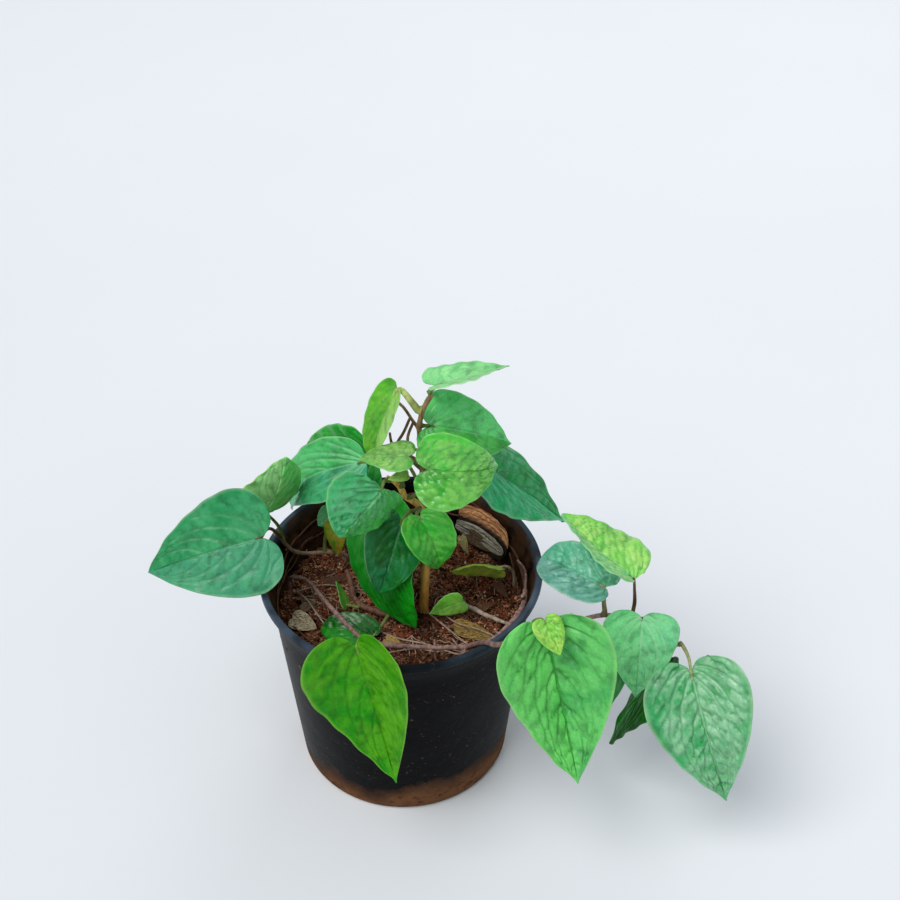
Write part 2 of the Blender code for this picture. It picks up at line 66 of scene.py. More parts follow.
POT_HEIGHT = 127 * MM
RIM_RADIUS = 74 * MM
BASE_RADIUS = 57.5 * MM
NECK_RADIUS = 68 * MM
COLLAR_LOW = 111 * MM
POT_WALL = 1.2 * MM
LIP_WIDTH = 2 * MM
LIP_DROP = 4 * MM
FOOT_BEVEL = 2.5 * MM
POT_TURNS = 144
DRAIN_HOLES = 6
DRAIN_RADIUS = 2.7 * MM
DRAIN_RING = 42 * MM
DRILL_LENGTH = 6 * MM
POT_SWAY = 0.0022

# Soil

SOIL_EDGE = 98 * MM
SOIL_MOUND = 3 * MM
SOIL_RELIEF = 1.2 * MM
LUMP_SIZE = 9 * MM
CLOD_SIZE = 3.2 * MM
PIT_SIZE = 6.5 * MM
SOIL_TURNS = 220
SOIL_RINGS = 82
CRUMB_RADIUS = 0.75 * MM
FIBRE_LENGTH = 6 * MM
FIBRE_BEND = 0.9 * MM
FIBRE_RADIUS = 0.09 * MM
GAP = 0.3 * MM
STREWN_RING = 60 * MM
STREWN_SLOPE = 0.35
ANY_TURN = 3.2
ROOTLET_RING = 63 * MM

# Leaves

EAR = 0.42
BLADE = 0.5 * MM
BLADE_EDGE = 0.22 * MM
MIDRIB_SHARE = 0.06
PETIOLE_ROOT = 1.1 * MM
PETIOLE_TIP = 0.7 * MM
ROOT_DEPTH = 9 * MM
ROW_STEP = 0.62 * MM
COLUMN_STEP = 1.3 * MM
LAST_ROW = 0.9996
VEINED_LENGTH = 62 * MM
QUILT_RISE = 1.25
BRANCH_WIDTH = 0.5 * MM
BRANCH_SLANT = 0.75
RIB_DEPTH = 0.45 * MM
VEIN_DEPTH = 0.14 * MM


def point(*millimetres):
    """A place given in mm."""
    return Vector(millimetres) * MM


def tint(red, green, blue):
    """A colour given as it looks on a screen, 0 to 255, as a linear colour."""
    shares = [channel / 255 for channel in (red, green, blue)]
    linear = [c / 12.92 if c <= 0.04045 else ((c + 0.055) / 1.055) ** 2.4 for c in shares]
    return (*linear, 1.0)


# Materials

def feed(tree, socket, value):
    """A value or a link into a socket."""
    if isinstance(value, bpy.types.NodeSocket):
        tree.links.new(value, socket)
    elif value is not None:
        socket.default_value = value


def add(tree, kind, inputs=None, **settings):
    """A node with its settings and inputs."""
    made = tree.nodes.new(kind)
    for name, value in settings.items():
        setattr(made, name, value)
    for name, value in (inputs or {}).items():
        feed(tree, made.inputs[name], value)
    return made


def finish(name):
    """A material with its node tree and shader."""
    made = bpy.data.materials.new(name)
    made.use_nodes = True
    tree = made.node_tree
    return made, tree, tree.nodes["Principled BSDF"]


def place_on(tree):
    """The place on the piece, in metres."""
    return add(tree, "ShaderNodeTexCoord").outputs["Object"]


def reading(tree, name):
    """The value of a painted attribute."""
    return add(tree, "ShaderNodeAttribute", attribute_name=name).outputs["Fac"]


def grain(tree, place, scale, detail=4.0, roughness=0.55):
    """Soft noise, about 0 to 1."""
    return add(tree, "ShaderNodeTexNoise", {"Vector": place, "Scale": scale, "Detail": detail,
                                            "Roughness": roughness}).outputs["Fac"]


def ramp(tree, value, low, high, bottom=0.0, top=1.0):
    """A value stretched from low..high to bottom..top."""
    return add(tree, "ShaderNodeMapRange", {"Value": value, "From Min": low, "From Max": high,
                                            "To Min": bottom, "To Max": top}).outputs["Result"]


def mix(tree, share, first, second, blend="MIX"):
    """Two colours mixed by a share."""
    made = tree.nodes.new("ShaderNodeMix")
    made.data_type = "RGBA"
    made.blend_type = blend
    feed(tree, made.inputs[0], share)
    feed(tree, made.inputs[6], first)
    feed(tree, made.inputs[7], second)
    return made.outputs[2]


def times(tree, a, b, operation="MULTIPLY"):
    """Two values multiplied, or put together by another operation."""
    made = tree.nodes.new("ShaderNodeMath")
    made.operation = operation
    feed(tree, made.inputs[0], a)
    feed(tree, made.inputs[1], b)
    return made.outputs[0]


def bumped(tree, shader, height, strength, distance):
    """Fine relief from a height."""
    bump = add(tree, "ShaderNodeBump", {"Strength": strength, "Distance": distance, "Height": height})
    tree.links.new(bump.outputs["Normal"], shader.inputs["Normal"])


def layered(tree, body, layers):
    """A colour with others laid over it in turn, each by its share."""
    for share, colour in layers:
        body = mix(tree, share, body, colour)
    return body


def settle(tree, shader, values):
    """Inputs of a shader by name, each a value or a link."""
    for name, value in values.items():
        feed(tree, shader.inputs[name], value)


def leaf_finish(name, look):
    """Waxy blade: two half colours, mottling, painted highlights on the domes of the quilting,
    veins with painted shade in their sunken net of branches, a pale rim and a paler underside.
    """
    made, tree, shader = finish(name)
    place = place_on(tree)
    patch = ramp(tree, grain(tree, place, 75, 3), 0.40, 0.60)
    shade = ramp(tree, grain(tree, place, 130, 4), 0.50, 0.68)
    # Painted highlight: the domes and blisters of the quilting lightened towards the patch colour
    crest = ramp(tree, times(tree, reading(tree, "dome"), grain(tree, place, 110, 4)), 0.25, 0.60)
    body = layered(tree, mix(tree, reading(tree, "half"), look["left"], look["right"]), (
        (times(tree, patch, look["mottle"]), look["patch"]),
        (times(tree, shade, 0.58), look["deep"]),
        (times(tree, crest, look["crest"]), look["patch"]),
        (ramp(tree, grain(tree, place, 900, 3), 0.3, 0.7, 0.0, 0.25), look["deep"]),
        # Painted shade in the sunken net of branch veins
        (times(tree, reading(tree, "net"), look["net"]), look["deep"]),
        (times(tree, reading(tree, "vein"), look["veins"]), look["vein"]),
        (times(tree, ramp(tree, reading(tree, "rim"), 0.93, 0.99), look["edging"]), look["edge"]),
        (times(tree, reading(tree, "under"), 0.6), look["under"])))
    settle(tree, shader, {
        "Base Color": body,
        "Roughness": ramp(tree, grain(tree, place, 300, 3), 0.3, 0.7, look["rough"] - 0.08,
                          look["rough"] + 0.12),
        "Specular IOR Level": look["sheen"], "Coat Weight": look["coat"], "Coat Roughness": 0.24,
        "Subsurface Weight": 0.1, "Subsurface Radius": (0.4, 0.9, 0.15), "Subsurface Scale": 0.001})
    height = times(tree, grain(tree, place, 1500, 3), grain(tree, place, 420, 3), "ADD")
    bumped(tree, shader, height, 0.35, 0.0004)
    return made


def stalk_finish(name, young, old, speck, rough=0.6, scale=500):
    """Bark or green stalk: a colour along its length, streaks and specks."""
    made, tree, shader = finish(name)
    place = place_on(tree)
    streak = add(tree, "ShaderNodeMapping", {"Vector": place, "Scale": (1, 1, 0.25)}).outputs[0]
    body = layered(tree, mix(tree, ramp(tree, reading(tree, "along"), 0.1, 0.9), old, young), (
        (ramp(tree, grain(tree, streak, scale, 5), 0.42, 0.62, 0, 0.75), speck),
        (ramp(tree, grain(tree, place, 1600, 3), 0.55, 0.75, 0, 0.5), old)))
    settle(tree, shader, {"Base Color": body, "Roughness": rough, "Specular IOR Level": 0.25})
    bumped(tree, shader, grain(tree, streak, 2 * scale, 5), 0.5, 0.0006)
    return made


def pot_finish():
    """Thin black plastic with a painted bluish highlight along the rim, and earth dried on the foot and
    inside.
    """
    made, tree, shader = finish("pot_black_plastic")
    place = place_on(tree)
    parts = add(tree, "ShaderNodeSeparateXYZ", {"Vector": place})
    height = parts.outputs["Z"]
    # Painted bluish highlight along the rim's top: faint at the front and back, full at the left and right
    # sides
    aside = ramp(tree, times(tree, parts.outputs["X"], 0.0, "ABSOLUTE"), 0.015, 0.062, 0.1, 1)
    cloud = grain(tree, place, 42, 6, 0.68)
    scuffs = ramp(tree, grain(tree, place, 150, 6, 0.75), 0.58, 0.72)
    rim_highlight = times(tree, ramp(tree, height, 0.1205, 0.1262),
                 ramp(tree, grain(tree, place, 70, 4), 0.3, 0.6, 0.4, 1))
    drift = times(tree, times(tree, cloud, 0.026), times(tree, grain(tree, place, 14, 2), 0.034), "ADD")
    dust = ramp(tree, times(tree, height, drift, "SUBTRACT"), -0.010, -0.025)
    crust = times(tree, dust, ramp(tree, grain(tree, place, 190, 5, 0.7), 0.50, 0.62))
    wall = times(tree, reading(tree, "inner"), ramp(tree, grain(tree, place, 60, 6, 0.7), 0.40, 0.58))
    specks = times(tree, ramp(tree, grain(tree, place, 420, 4, 0.7), 0.63, 0.68),
                   ramp(tree, cloud, 0.42, 0.6))
    plastic = mix(tree, ramp(tree, grain(tree, place, 35, 4), 0.4, 0.65), tint(1, 1, 2), tint(6, 7, 9))
    body = layered(tree, plastic, (
        (times(tree, scuffs, 0.09), tint(84, 84, 88)),
        # the painted bluish highlight on the rim
        (times(tree, rim_highlight, aside), tint(74, 88, 104)),
        (times(tree, dust, 0.85), tint(120, 82, 55)),
        (crust, tint(78, 50, 34)),
        (times(tree, wall, 0.9), tint(84, 56, 38)),
        (times(tree, specks, 0.5), tint(126, 110, 94))))
    rough = ramp(tree, times(tree, dust, wall, "MAXIMUM"), 0, 1, 0.40, 0.88)
    settle(tree, shader, {"Base Color": body, "Roughness": rough, "Specular IOR Level": 0.045})
    uneven = times(tree, grain(tree, place, 60, 3), times(tree, grain(tree, place, 900, 4), 0.25), "ADD")
    bumped(tree, shader, uneven, 0.4, 0.0012)
    return made


def painted_front_shade(tree, place, body):
    """Painted shade over the peat: darker along the front wall and in soft random patches."""
    depth = add(tree, "ShaderNodeSeparateXYZ", {"Vector": place}).outputs["Y"]
    drift = times(tree, grain(tree, place, 40, 3), 0.03)
    share = ramp(tree, times(tree, depth, drift, "ADD"), -0.004, -0.036, 0, 0.72)
    share = times(tree, share, ramp(tree, grain(tree, place, 55, 4), 0.48, 0.62, 0, 0.7), "MAXIMUM")
    return mix(tree, share, body, tint(26, 14, 9))


def soil_finish():
    """Moist red-brown coco peat with dark specks, and painted shade along the front wall."""
    made, tree, shader = finish("soil_peat")
    place = place_on(tree)
    clouds = ramp(tree, grain(tree, place, 60, 5, 0.7), 0.38, 0.62)
    body = layered(tree, mix(tree, clouds, tint(44, 20, 13), tint(142, 78, 50)), (
        (ramp(tree, grain(tree, place, 700, 4, 0.7), 0.5, 0.60), tint(214, 156, 118)),
        (ramp(tree, grain(tree, place, 330, 5, 0.7), 0.54, 0.60), tint(22, 11, 8))))
    settle(tree, shader, {"Base Color": painted_front_shade(tree, place, body), "Roughness": 0.8,
                          "Specular IOR Level": 0.12})
    bumped(tree, shader, grain(tree, place, 620, 6, 0.75), 1.0, 0.0015)
    return made


def crumb_finish(name, dark, middle, light):
    """Loose bits of soil, each with its own tone, under the same painted shade along the front wall."""
    made, tree, shader = finish(name)
    tone = reading(tree, "tone")
    place = place_on(tree)
    body = mix(tree, ramp(tree, tone, 0.1, 0.6), dark, middle)
    body = mix(tree, ramp(tree, tone, 0.88, 0.98), body, light)
    settle(tree, shader, {"Base Color": painted_front_shade(tree, place, body), "Roughness": 0.85,
                          "Specular IOR Level": 0.12})
    bumped(tree, shader, grain(tree, place, 1500, 4, 0.7), 0.6, 0.0005)
    return made


def scrap_finish(name, light, dark, scale=(1, 1, 1), shaded=1.5):
    """Dry bark or a dead leaf, with fibres along it, and a near-black painted shadow past the shaded share
    of its width.
    """
    made, tree, shader = finish(name)
    blade = reading_uv(tree)
    place = add(tree, "ShaderNodeMapping", {"Vector": blade, "Scale": scale}).outputs[0]
    across = add(tree, "ShaderNodeSeparateXYZ", {"Vector": blade}).outputs["X"]
    ragged = times(tree, across, times(tree, grain(tree, place, 3, 5, 0.7), 0.8), "ADD")
    body = layered(tree, dark, (
        (ramp(tree, grain(tree, place, 6, 6, 0.7), 0.44, 0.54), light),
        # Painted shadow, near black, over the width past the shaded share
        (ramp(tree, ragged, shaded + 0.25, shaded + 0.5), tint(30, 19, 14)),
        (ramp(tree, grain(tree, place_on(tree), 500, 5, 0.7), 0.58, 0.70), dark)))
    settle(tree, shader, {"Base Color": body, "Roughness": 0.8})
    bumped(tree, shader, grain(tree, place, 12, 6, 0.7), 0.8, 0.0008)
    return made


def reading_uv(tree):
    """Across and down a blade: -1 to 1 and 0 to 1."""
    return add(tree, "ShaderNodeUVMap", uv_map="blade").outputs["UV"]


# Trees that make geometry: one sweeps a round section along a route, one strews bits

def open_tree(name, inputs):
    """An empty tree from geometry to geometry, its inputs' identifiers and the node that gives them."""
    group = bpy.data.node_groups.new(name, "GeometryNodeTree")
    for way in ("INPUT", "OUTPUT"):
        group.interface.new_socket(name="Geometry", in_out=way, socket_type="NodeSocketGeometry")
    keys = {}
    for title, (kind, start) in inputs.items():
        socket = group.interface.new_socket(name=title, in_out="INPUT", socket_type="NodeSocket" + kind)
        if start is not None:
            socket.default_value = start
        keys[title] = socket.identifier
    return group, keys, add(group, "NodeGroupInput")


def close_tree(group, geometry, given):
    """The end of a tree: real geometry in the finish that it was given."""
    real = add(group, "GeometryNodeRealizeInstances", {"Geometry": geometry})
    done = add(group, "GeometryNodeSetMaterial",
               {"Geometry": real.outputs[0], "Material": given.outputs["Finish"]})
    leave = add(group, "NodeGroupOutput")
    group.links.new(done.outputs[0], leave.inputs["Geometry"])


def drawn(group, low, high, seed):
    """A random vector between two."""
    made = add(group, "FunctionNodeRandomValue", data_type="FLOAT_VECTOR")
    feed(group, made.inputs[0], low)
    feed(group, made.inputs[1], high)
    feed(group, made.inputs["Seed"], seed)
    return made.outputs[0]


def stalk_tree():
    """Route to stalk: thick at its foot, thin at its end, uneven all along."""
    group, keys, given = open_tree("stalk", {
        "Foot radius": ("Float", 0.001), "End radius": ("Float", 0.0007), "Sides": ("Int", 12),
        "Unevenness": ("Float", 0.0001), "Finish": ("Material", None)})
    share = add(group, "GeometryNodeSplineParameter").outputs["Factor"]
    stored = add(group, "GeometryNodeStoreNamedAttribute",
                 {"Geometry": given.outputs["Geometry"], "Name": "along", "Value": share})
    radius = add(group, "ShaderNodeMapRange", {"Value": share, "To Min": given.outputs["Foot radius"],
                                               "To Max": given.outputs["End radius"]})
    knots = add(group, "GeometryNodeInputRadius")
    scale = times(group, radius.outputs["Result"], knots.outputs[0])
    section = add(group, "GeometryNodeCurvePrimitiveCircle",
                  {"Resolution": given.outputs["Sides"], "Radius": 1.0})
    swept = add(group, "GeometryNodeCurveToMesh",
                {"Curve": stored.outputs[0], "Profile Curve": section.outputs["Curve"],
                 "Scale": scale, "Fill Caps": True})
    place = add(group, "GeometryNodeInputPosition")
    lumps = add(group, "ShaderNodeTexNoise", {"Vector": place.outputs[0], "Scale": 450.0, "Detail": 3.0})
    centred = times(group, lumps.outputs["Fac"], 0.5, "SUBTRACT")
    rise = times(group, centred, times(group, given.outputs["Unevenness"], 2.0))
    normal = add(group, "GeometryNodeInputNormal")
    push = add(group, "ShaderNodeVectorMath", {0: normal.outputs[0], "Scale": rise}, operation="SCALE")
    moved = add(group, "GeometryNodeSetPosition", {"Geometry": swept.outputs[0], "Offset": push.outputs[0]})
    close_tree(group, moved.outputs[0], given)
    return group, keys


def scatter_tree():
    """Bits strewn over the top faces of a surface, turned and sized at random."""
    group, keys, given = open_tree("strewn", {
        "Bits per area": ("Float", 100000.0), "Smallest": ("Vector", (0.3, 0.3, 0.3)),
        "Largest": ("Vector", (1, 1, 1)), "Tilt": ("Float", 3.2), "Bit": ("Object", None),
        "Seed": ("Int", 3), "Finish": ("Material", None)})
    seed = given.outputs["Seed"]
    tilt = given.outputs["Tilt"]
    normal = add(group, "GeometryNodeInputNormal").outputs[0]
    normal = add(group, "ShaderNodeSeparateXYZ", {"Vector": normal})
    upward = add(group, "FunctionNodeCompare", {0: normal.outputs["Z"], 1: STREWN_SLOPE},
                 data_type="FLOAT", operation="GREATER_THAN")
    spread = add(group, "GeometryNodeDistributePointsOnFaces",
                 {"Mesh": given.outputs["Geometry"], "Selection": upward.outputs[0],
                  "Density": given.outputs["Bits per area"], "Seed": seed})
    back = times(group, tilt, -1.0)
    low = add(group, "ShaderNodeCombineXYZ", {"X": back, "Y": back, "Z": -ANY_TURN})
    high = add(group, "ShaderNodeCombineXYZ", {"X": tilt, "Y": tilt, "Z": ANY_TURN})
    bit = add(group, "GeometryNodeObjectInfo", {"Object": given.outputs["Bit"]})
    laid = add(group, "GeometryNodeInstanceOnPoints",
               {"Points": spread.outputs["Points"], "Instance": bit.outputs["Geometry"],
                "Rotation": drawn(group, low.outputs[0], high.outputs[0], times(group, seed, 7.0, "ADD")),
                "Scale": drawn(group, given.outputs["Smallest"], given.outputs["Largest"], seed)})
    tone = add(group, "FunctionNodeRandomValue", data_type="FLOAT")
    toned = add(group, "GeometryNodeStoreNamedAttribute",
                {"Geometry": laid.outputs[0], "Name": "tone", "Value": tone.outputs[1]}, domain="INSTANCE")
    close_tree(group, toned.outputs[0], given)
    return group, keys


STALK, STALK_KEYS = stalk_tree()
STREWN, STREWN_KEYS = scatter_tree()


def shown(name, mesh):
    """An object in the scene."""
    item = bpy.data.objects.new(name, mesh)
    bpy.context.scene.collection.objects.link(item)
    return item


def as_mesh(name, shape):
    """A worked shape as plain mesh data."""
    mesh = bpy.data.meshes.new(name)
    shape.to_mesh(mesh)
    shape.free()
    return mesh


def closed_mesh(name, shape):
    """A worked shape as smooth mesh data, with its faces turned outward."""
    bmesh.ops.recalc_face_normals(shape, faces=shape.faces)
    for face in shape.faces:
        face.smooth = True
    return as_mesh(name, shape)


def grown(item, group, keys, values):
    """The mesh that a tree makes from an object, which is then removed."""
    growth = item.modifiers.new("growth", "NODES")
    growth.node_group = group
    for name, value in values.items():
        growth[keys[name]] = value
    bpy.context.view_layer.update()
    graph = bpy.context.evaluated_depsgraph_get()
    mesh = bpy.data.meshes.new_from_object(item.evaluated_get(graph))
    item.modifiers.clear()
    bpy.data.objects.remove(item, do_unlink=True)
    return mesh


def smooth_route(points, steps=3):
    """A Catmull-Rom curve through the route's points."""
    ends = [points[0] * 2 - points[1]] + list(points) + [points[-1] * 2 - points[-2]]
    route = []
    for i in range(1, len(ends) - 2):
        a, b, c, d = ends[i - 1:i + 3]
        for k in range(steps):
            t = k / steps
            route.append(0.5 * (2 * b + (c - a) * t + (2 * a - 5 * b + 4 * c - d) * t ** 2
                                + (3 * b - a - 3 * c + d) * t ** 3))
    route.append(points[-1].copy())
    return route


def stalk(route, foot, end, skin, sides=12, uneven=0.05, knots=()):
    """A stalk's mesh; knots are (share along, swelling) pairs."""
    curve = bpy.data.curves.new("route", "CURVE")
    curve.dimensions = "3D"
    spline = curve.splines.new("POLY")
    spline.points.add(len(route) - 1)
    for i, place in enumerate(route):
        share = i / (len(route) - 1)
        spline.points[i].co = (*place, 1.0)
        spline.points[i].radius = 1 + sum(size * math.exp(-((share - at) / 0.018) ** 2)
                                          for at, size in knots)
    item = shown("route", curve)
    return grown(item, STALK, STALK_KEYS, {
        "Foot radius": foot, "End radius": end, "Sides": sides, "Unevenness": uneven * MM,
        "Finish": skin})


def joined(name, meshes, skins):
    """Several meshes as one object, each with its own finish or all with the only one."""
    shape = bmesh.new()
    for slot, mesh in enumerate(meshes):
        start = len(shape.faces)
        shape.from_mesh(mesh)
        shape.faces.ensure_lookup_table()
        for face in shape.faces[start:]:
            face.material_index = min(slot, len(skins) - 1)
            face.smooth = True
    whole = as_mesh(name, shape)
    for skin in skins:
        whole.materials.append(skin)
    return shown(name, whole)


# Leaves: base is where the petiole meets the blade, face the azimuth (0 to the
# front, + to the right) and height angle that the upper side looks to, fold the
# angle that each half turns up by, bow the arch along the midrib and camber the
# curl of each half, as shares of length and half width.

def leaf(base, tip, width, face, fold=(5, 5), bow=0.05, lobe=0.12, taper=1.0, camber=0.1,
         wave=0.02, on="stem_main", near=None, via=()):
    """Form of a leaf: places and width in mm, angles in degrees."""
    return dict(base=point(*base), tip=point(*tip), width=width * MM, face=face, fold=fold, bow=bow,
                lobe=lobe, taper=taper, camber=camber, wave=wave, on=on, near=near,
                via=[point(*place) for place in via])


LEAVES = {
    "leaf_left_large": leaf(
        (-69.5, -9, 154), (-129.5, -10, 131), 54, (-18, 44), (-10, 15), 0.05, 0.12, 0.95, -0.05,
        on="runner_left", near=(-66, 20, 130), via=[(-67, 10, 143), (-68, -1, 152)]),
    "leaf_left_folded": leaf(
        (-70, 15, 150), (-58, 21, 182), 43, (24, 2), (18, -24), 0.08, 0.0, 0.80, 0.25,
        on="runner_left", near=(-63.8, 23, 124), via=[(-66, 24.5, 133), (-69, 20, 143)]),
    "leaf_back_wavy": leaf(
        (-18, 25, 176), (-62, 54, 119), 35, (-70, 40), (0, 40), 0.18, 0.02, 1.0, 0.08,
        on="stem_back", near=(12, 8.5, 184), via=[(2, 17, 187), (-9, 23, 185)]),
    "leaf_back_dark": leaf(
        (-16, 40, 168), (-53, 68, 150), 43, (-35, 0), (8, 15), 0.03, 0.08, 0.88, 0.10,
        on="stem_back", near=(12, 10, 168), via=[(4, 27, 172), (-8, 38, 173)]),
    "leaf_top_hanging": leaf(
        (0, 4.5, 235.5), (-12.5, 13.5, 183.5), 21, (-48, 7), (34, 24), 0.07, 0.08, 0.6, 0.10,
        on="stem_back", near=(12.5, -3, 229), via=[(7, -3, 235), (3, 1.5, 237.5)]),
    "leaf_top_pale": leaf(
        (20, 2, 241), (54, 13, 244), 28, (-141, 77), (13, 16), 0.01, 0.16, 0.98, 0.02,
        on="stem_back", near=(17, -1, 237), via=[(18, 0.5, 239.5)]),
    "leaf_upper_right": leaf(
        (16, -1, 218.5), (56, 9, 200), 37, (34, 38), (8, 8), 0.12, 0.11, 1.04, 0.08,
        on="stem_back", near=(11, -2, 219), via=[(14.6, -1.5, 219)]),
    "leaf_right_teal": leaf(
        (35, 10, 192), (88, 38, 124), 57, (71, 31), (10, 33), 0.02, 0.02, 1.14, 0.40,
        on="stem_back", near=(12, 8, 189), via=[(25, 9, 194)]),
    "leaf_centre_round": leaf(
        (15, -19, 206), (49, -6, 198), 39, (25, 17), (11, 26), 0.16, 0.17, 0.90, 0.04,
        on="stem_main", near=(4, -5, 177), via=[(10, -12, 186), (13, -17, 197)]),
    "leaf_crown_small": leaf(
        (5, -11.5, 207.5), (-18, -8.5, 204.5), 20, (-45, 78), (8, 6), 0.02, 0.16, 0.88, 0.04,
        on="stem_main", near=(0, -7.5, 186), via=[(2, -12, 197)]),
    "leaf_centre_left": leaf(
        (-7, -20.2, 194.8), (-28, -29.2, 171.8), 44, (20, 0), (-15, -8), 0.02, 0.04, 0.70, 0.10,
        on="stem_main", near=(-4.5, -9, 192.5), via=[(-6, -14, 195)]),
    "leaf_centre_small": leaf(
        (11, -15, 172), (20, -23, 146), 27, (35, 25), (40, 6), 0.16, 0.13, 0.76, 0.0,
        on="stem_main", near=(7, -4, 163), via=[(9, -10, 170)]),
    "leaf_middle_teal": leaf(
        (1, -4, 160), (-10, -26, 131), 32, (12, 34), (9, 7), 0.05, 0.13, 0.74, 0.12,
        on="stem_main", near=(8.5, -1, 163), via=[(5, -1, 164)]),
    "leaf_inner_long": leaf(
        (-12, 11, 148), (8, -23, 104), 44, (-37, 20), (5, 11), 0.16, 0.15, 0.90, 0.20,
        on="stem_back", near=(12, 12, 136), via=[(0, 15, 146)]),
    "leaf_inner_yellow": leaf(
        (-36, 27, 132), (-34, 22, 114), 13, (-20, 10), (3, 2), 0.08, 0.11, 0.96, 0.14,
        on="runner_left", near=(-38, 32, 107), via=[(-38, 32, 120), (-37.5, 31, 130)]),
    "leaf_inner_grey": leaf(
        (-38, 39, 130), (-46, 37, 122), 12, (-11, 25), (12, 7), 0.10, 0.12, 0.87, 0.05,
        on="runner_left", near=(-43, 32, 107), via=[(-42, 36, 118), (-39, 40, 127)]),
    "leaf_soil_right": leaf(
        (32, -16, 116), (15, -17, 108), 14, (5, 10), (4, 6), -0.03, 0.08, 0.98, 0.10,
        on="twig_dry", near=(35, -8.5, 104), via=[(34, -14, 112)]),
    "leaf_soil_narrow": leaf(
        (52, 14, 112), (26, 13, 110), 21, (5, -33), (24, 19), -0.10, 0.12, 0.63, 0.0,
        on="soil", near=(60.5, 15.5, 98), via=[(59.5, 15.5, 108), (56.5, 15, 112)]),
    "leaf_soil_glossy": leaf(
        (-14, -30, 105), (-41, -23, 104), 21, (-24, 75), (8, 36), 0.12, 0.12, 0.57, 0.20,
        on="stem_brown", near=(-6, -16, 107), via=[(-9, -24, 108)]),
    "leaf_soil_tiny": leaf(
        (-29, -9, 107), (-34, -4, 119), 10, (81, 24), (8, 5), 0.01, 0.14, 1.01, 0.09,
        on="stem_brown", near=(-21, -8, 105.5), via=[(-25, -9, 106)]),
    "leaf_front_left": leaf(
        (-19, -72, 140), (-1, -93, 66), 51, (-10, 18), (22, 20), -0.02, 0.12, 1.14, -0.34,
        on="runner_front", near=(-16, -50, 122), via=[(-17, -58, 132), (-18, -66, 139)]),
    "leaf_front_right": leaf(
        (72, -60, 138), (89, -95, 68), 66, (-10, 24), (16, 50), -0.03, 0.12, 1.05, -0.10,
        on="runner_front", near=(74, -48, 129), via=[(73, -55, 135)]),
    "leaf_front_bud": leaf(
        (71, -64, 149), (78, -75, 138), 15, (11, 48), (10, 10), 0.07, 0.15, 0.84, 0.07,
        on="runner_front", near=(66, -55, 131), via=[(66, -57, 142), (69, -61, 148)]),
    "leaf_vine_middle": leaf(
        (123, -33, 121), (121, -50, 81), 38, (2, 18), (12, -4), 0.04, 0.08, 1.06, 0.06,
        on="runner_front", near=(122, -25.5, 112.6), via=[(123, -31, 118)]),
    "leaf_vine_end": leaf(
        (147, -52, 102), (167, -85, 42), 56, (-11, 26), (17, 28), 0.10, 0.10, 1.12, -0.10,
        on="runner_front", near=(142, -37, 105), via=[(145, -40, 106), (146.5, -46, 105)]),
    "leaf_vine_hanging": leaf(
        (140, -28, 85), (113, -34, 26), 48, (-95, 23), (2, -5), 0.02, 0.14, 1.03, 0.12,
        on="runner_front", near=(134, -28.5, 108.5), via=[(138, -27, 98)]),
    "leaf_vine_behind": leaf(
        (110, -20, 92), (109, -32, 46), 30, (-3, 15), (7, 3), -0.03, 0.15, 1.13, 0.11,
        on="runner_front", near=(108, -26.5, 117), via=[(109, -20, 106)]),
    "leaf_vine_quilted": leaf(
        (103, -28, 138), (73, -2, 134), 32, (-51, 59), (28, 8), 0.06, 0.14, 0.48, 0.0,
        on="runner_front", near=(104, -28, 118), via=[(103.5, -28.5, 128)]),
    "leaf_vine_bright": leaf(
        (117, -33, 148), (82, -6, 167), 38, (80, 62), (24, 21), -0.03, 0.02, 0.85, 0.0,
        on="runner_front", near=(119, -25, 113.5), via=[(120.5, -20.5, 120), (118.5, -27, 136)]),
}


# Runs of each stem: places in mm, and its radius at the foot and at the end in mm

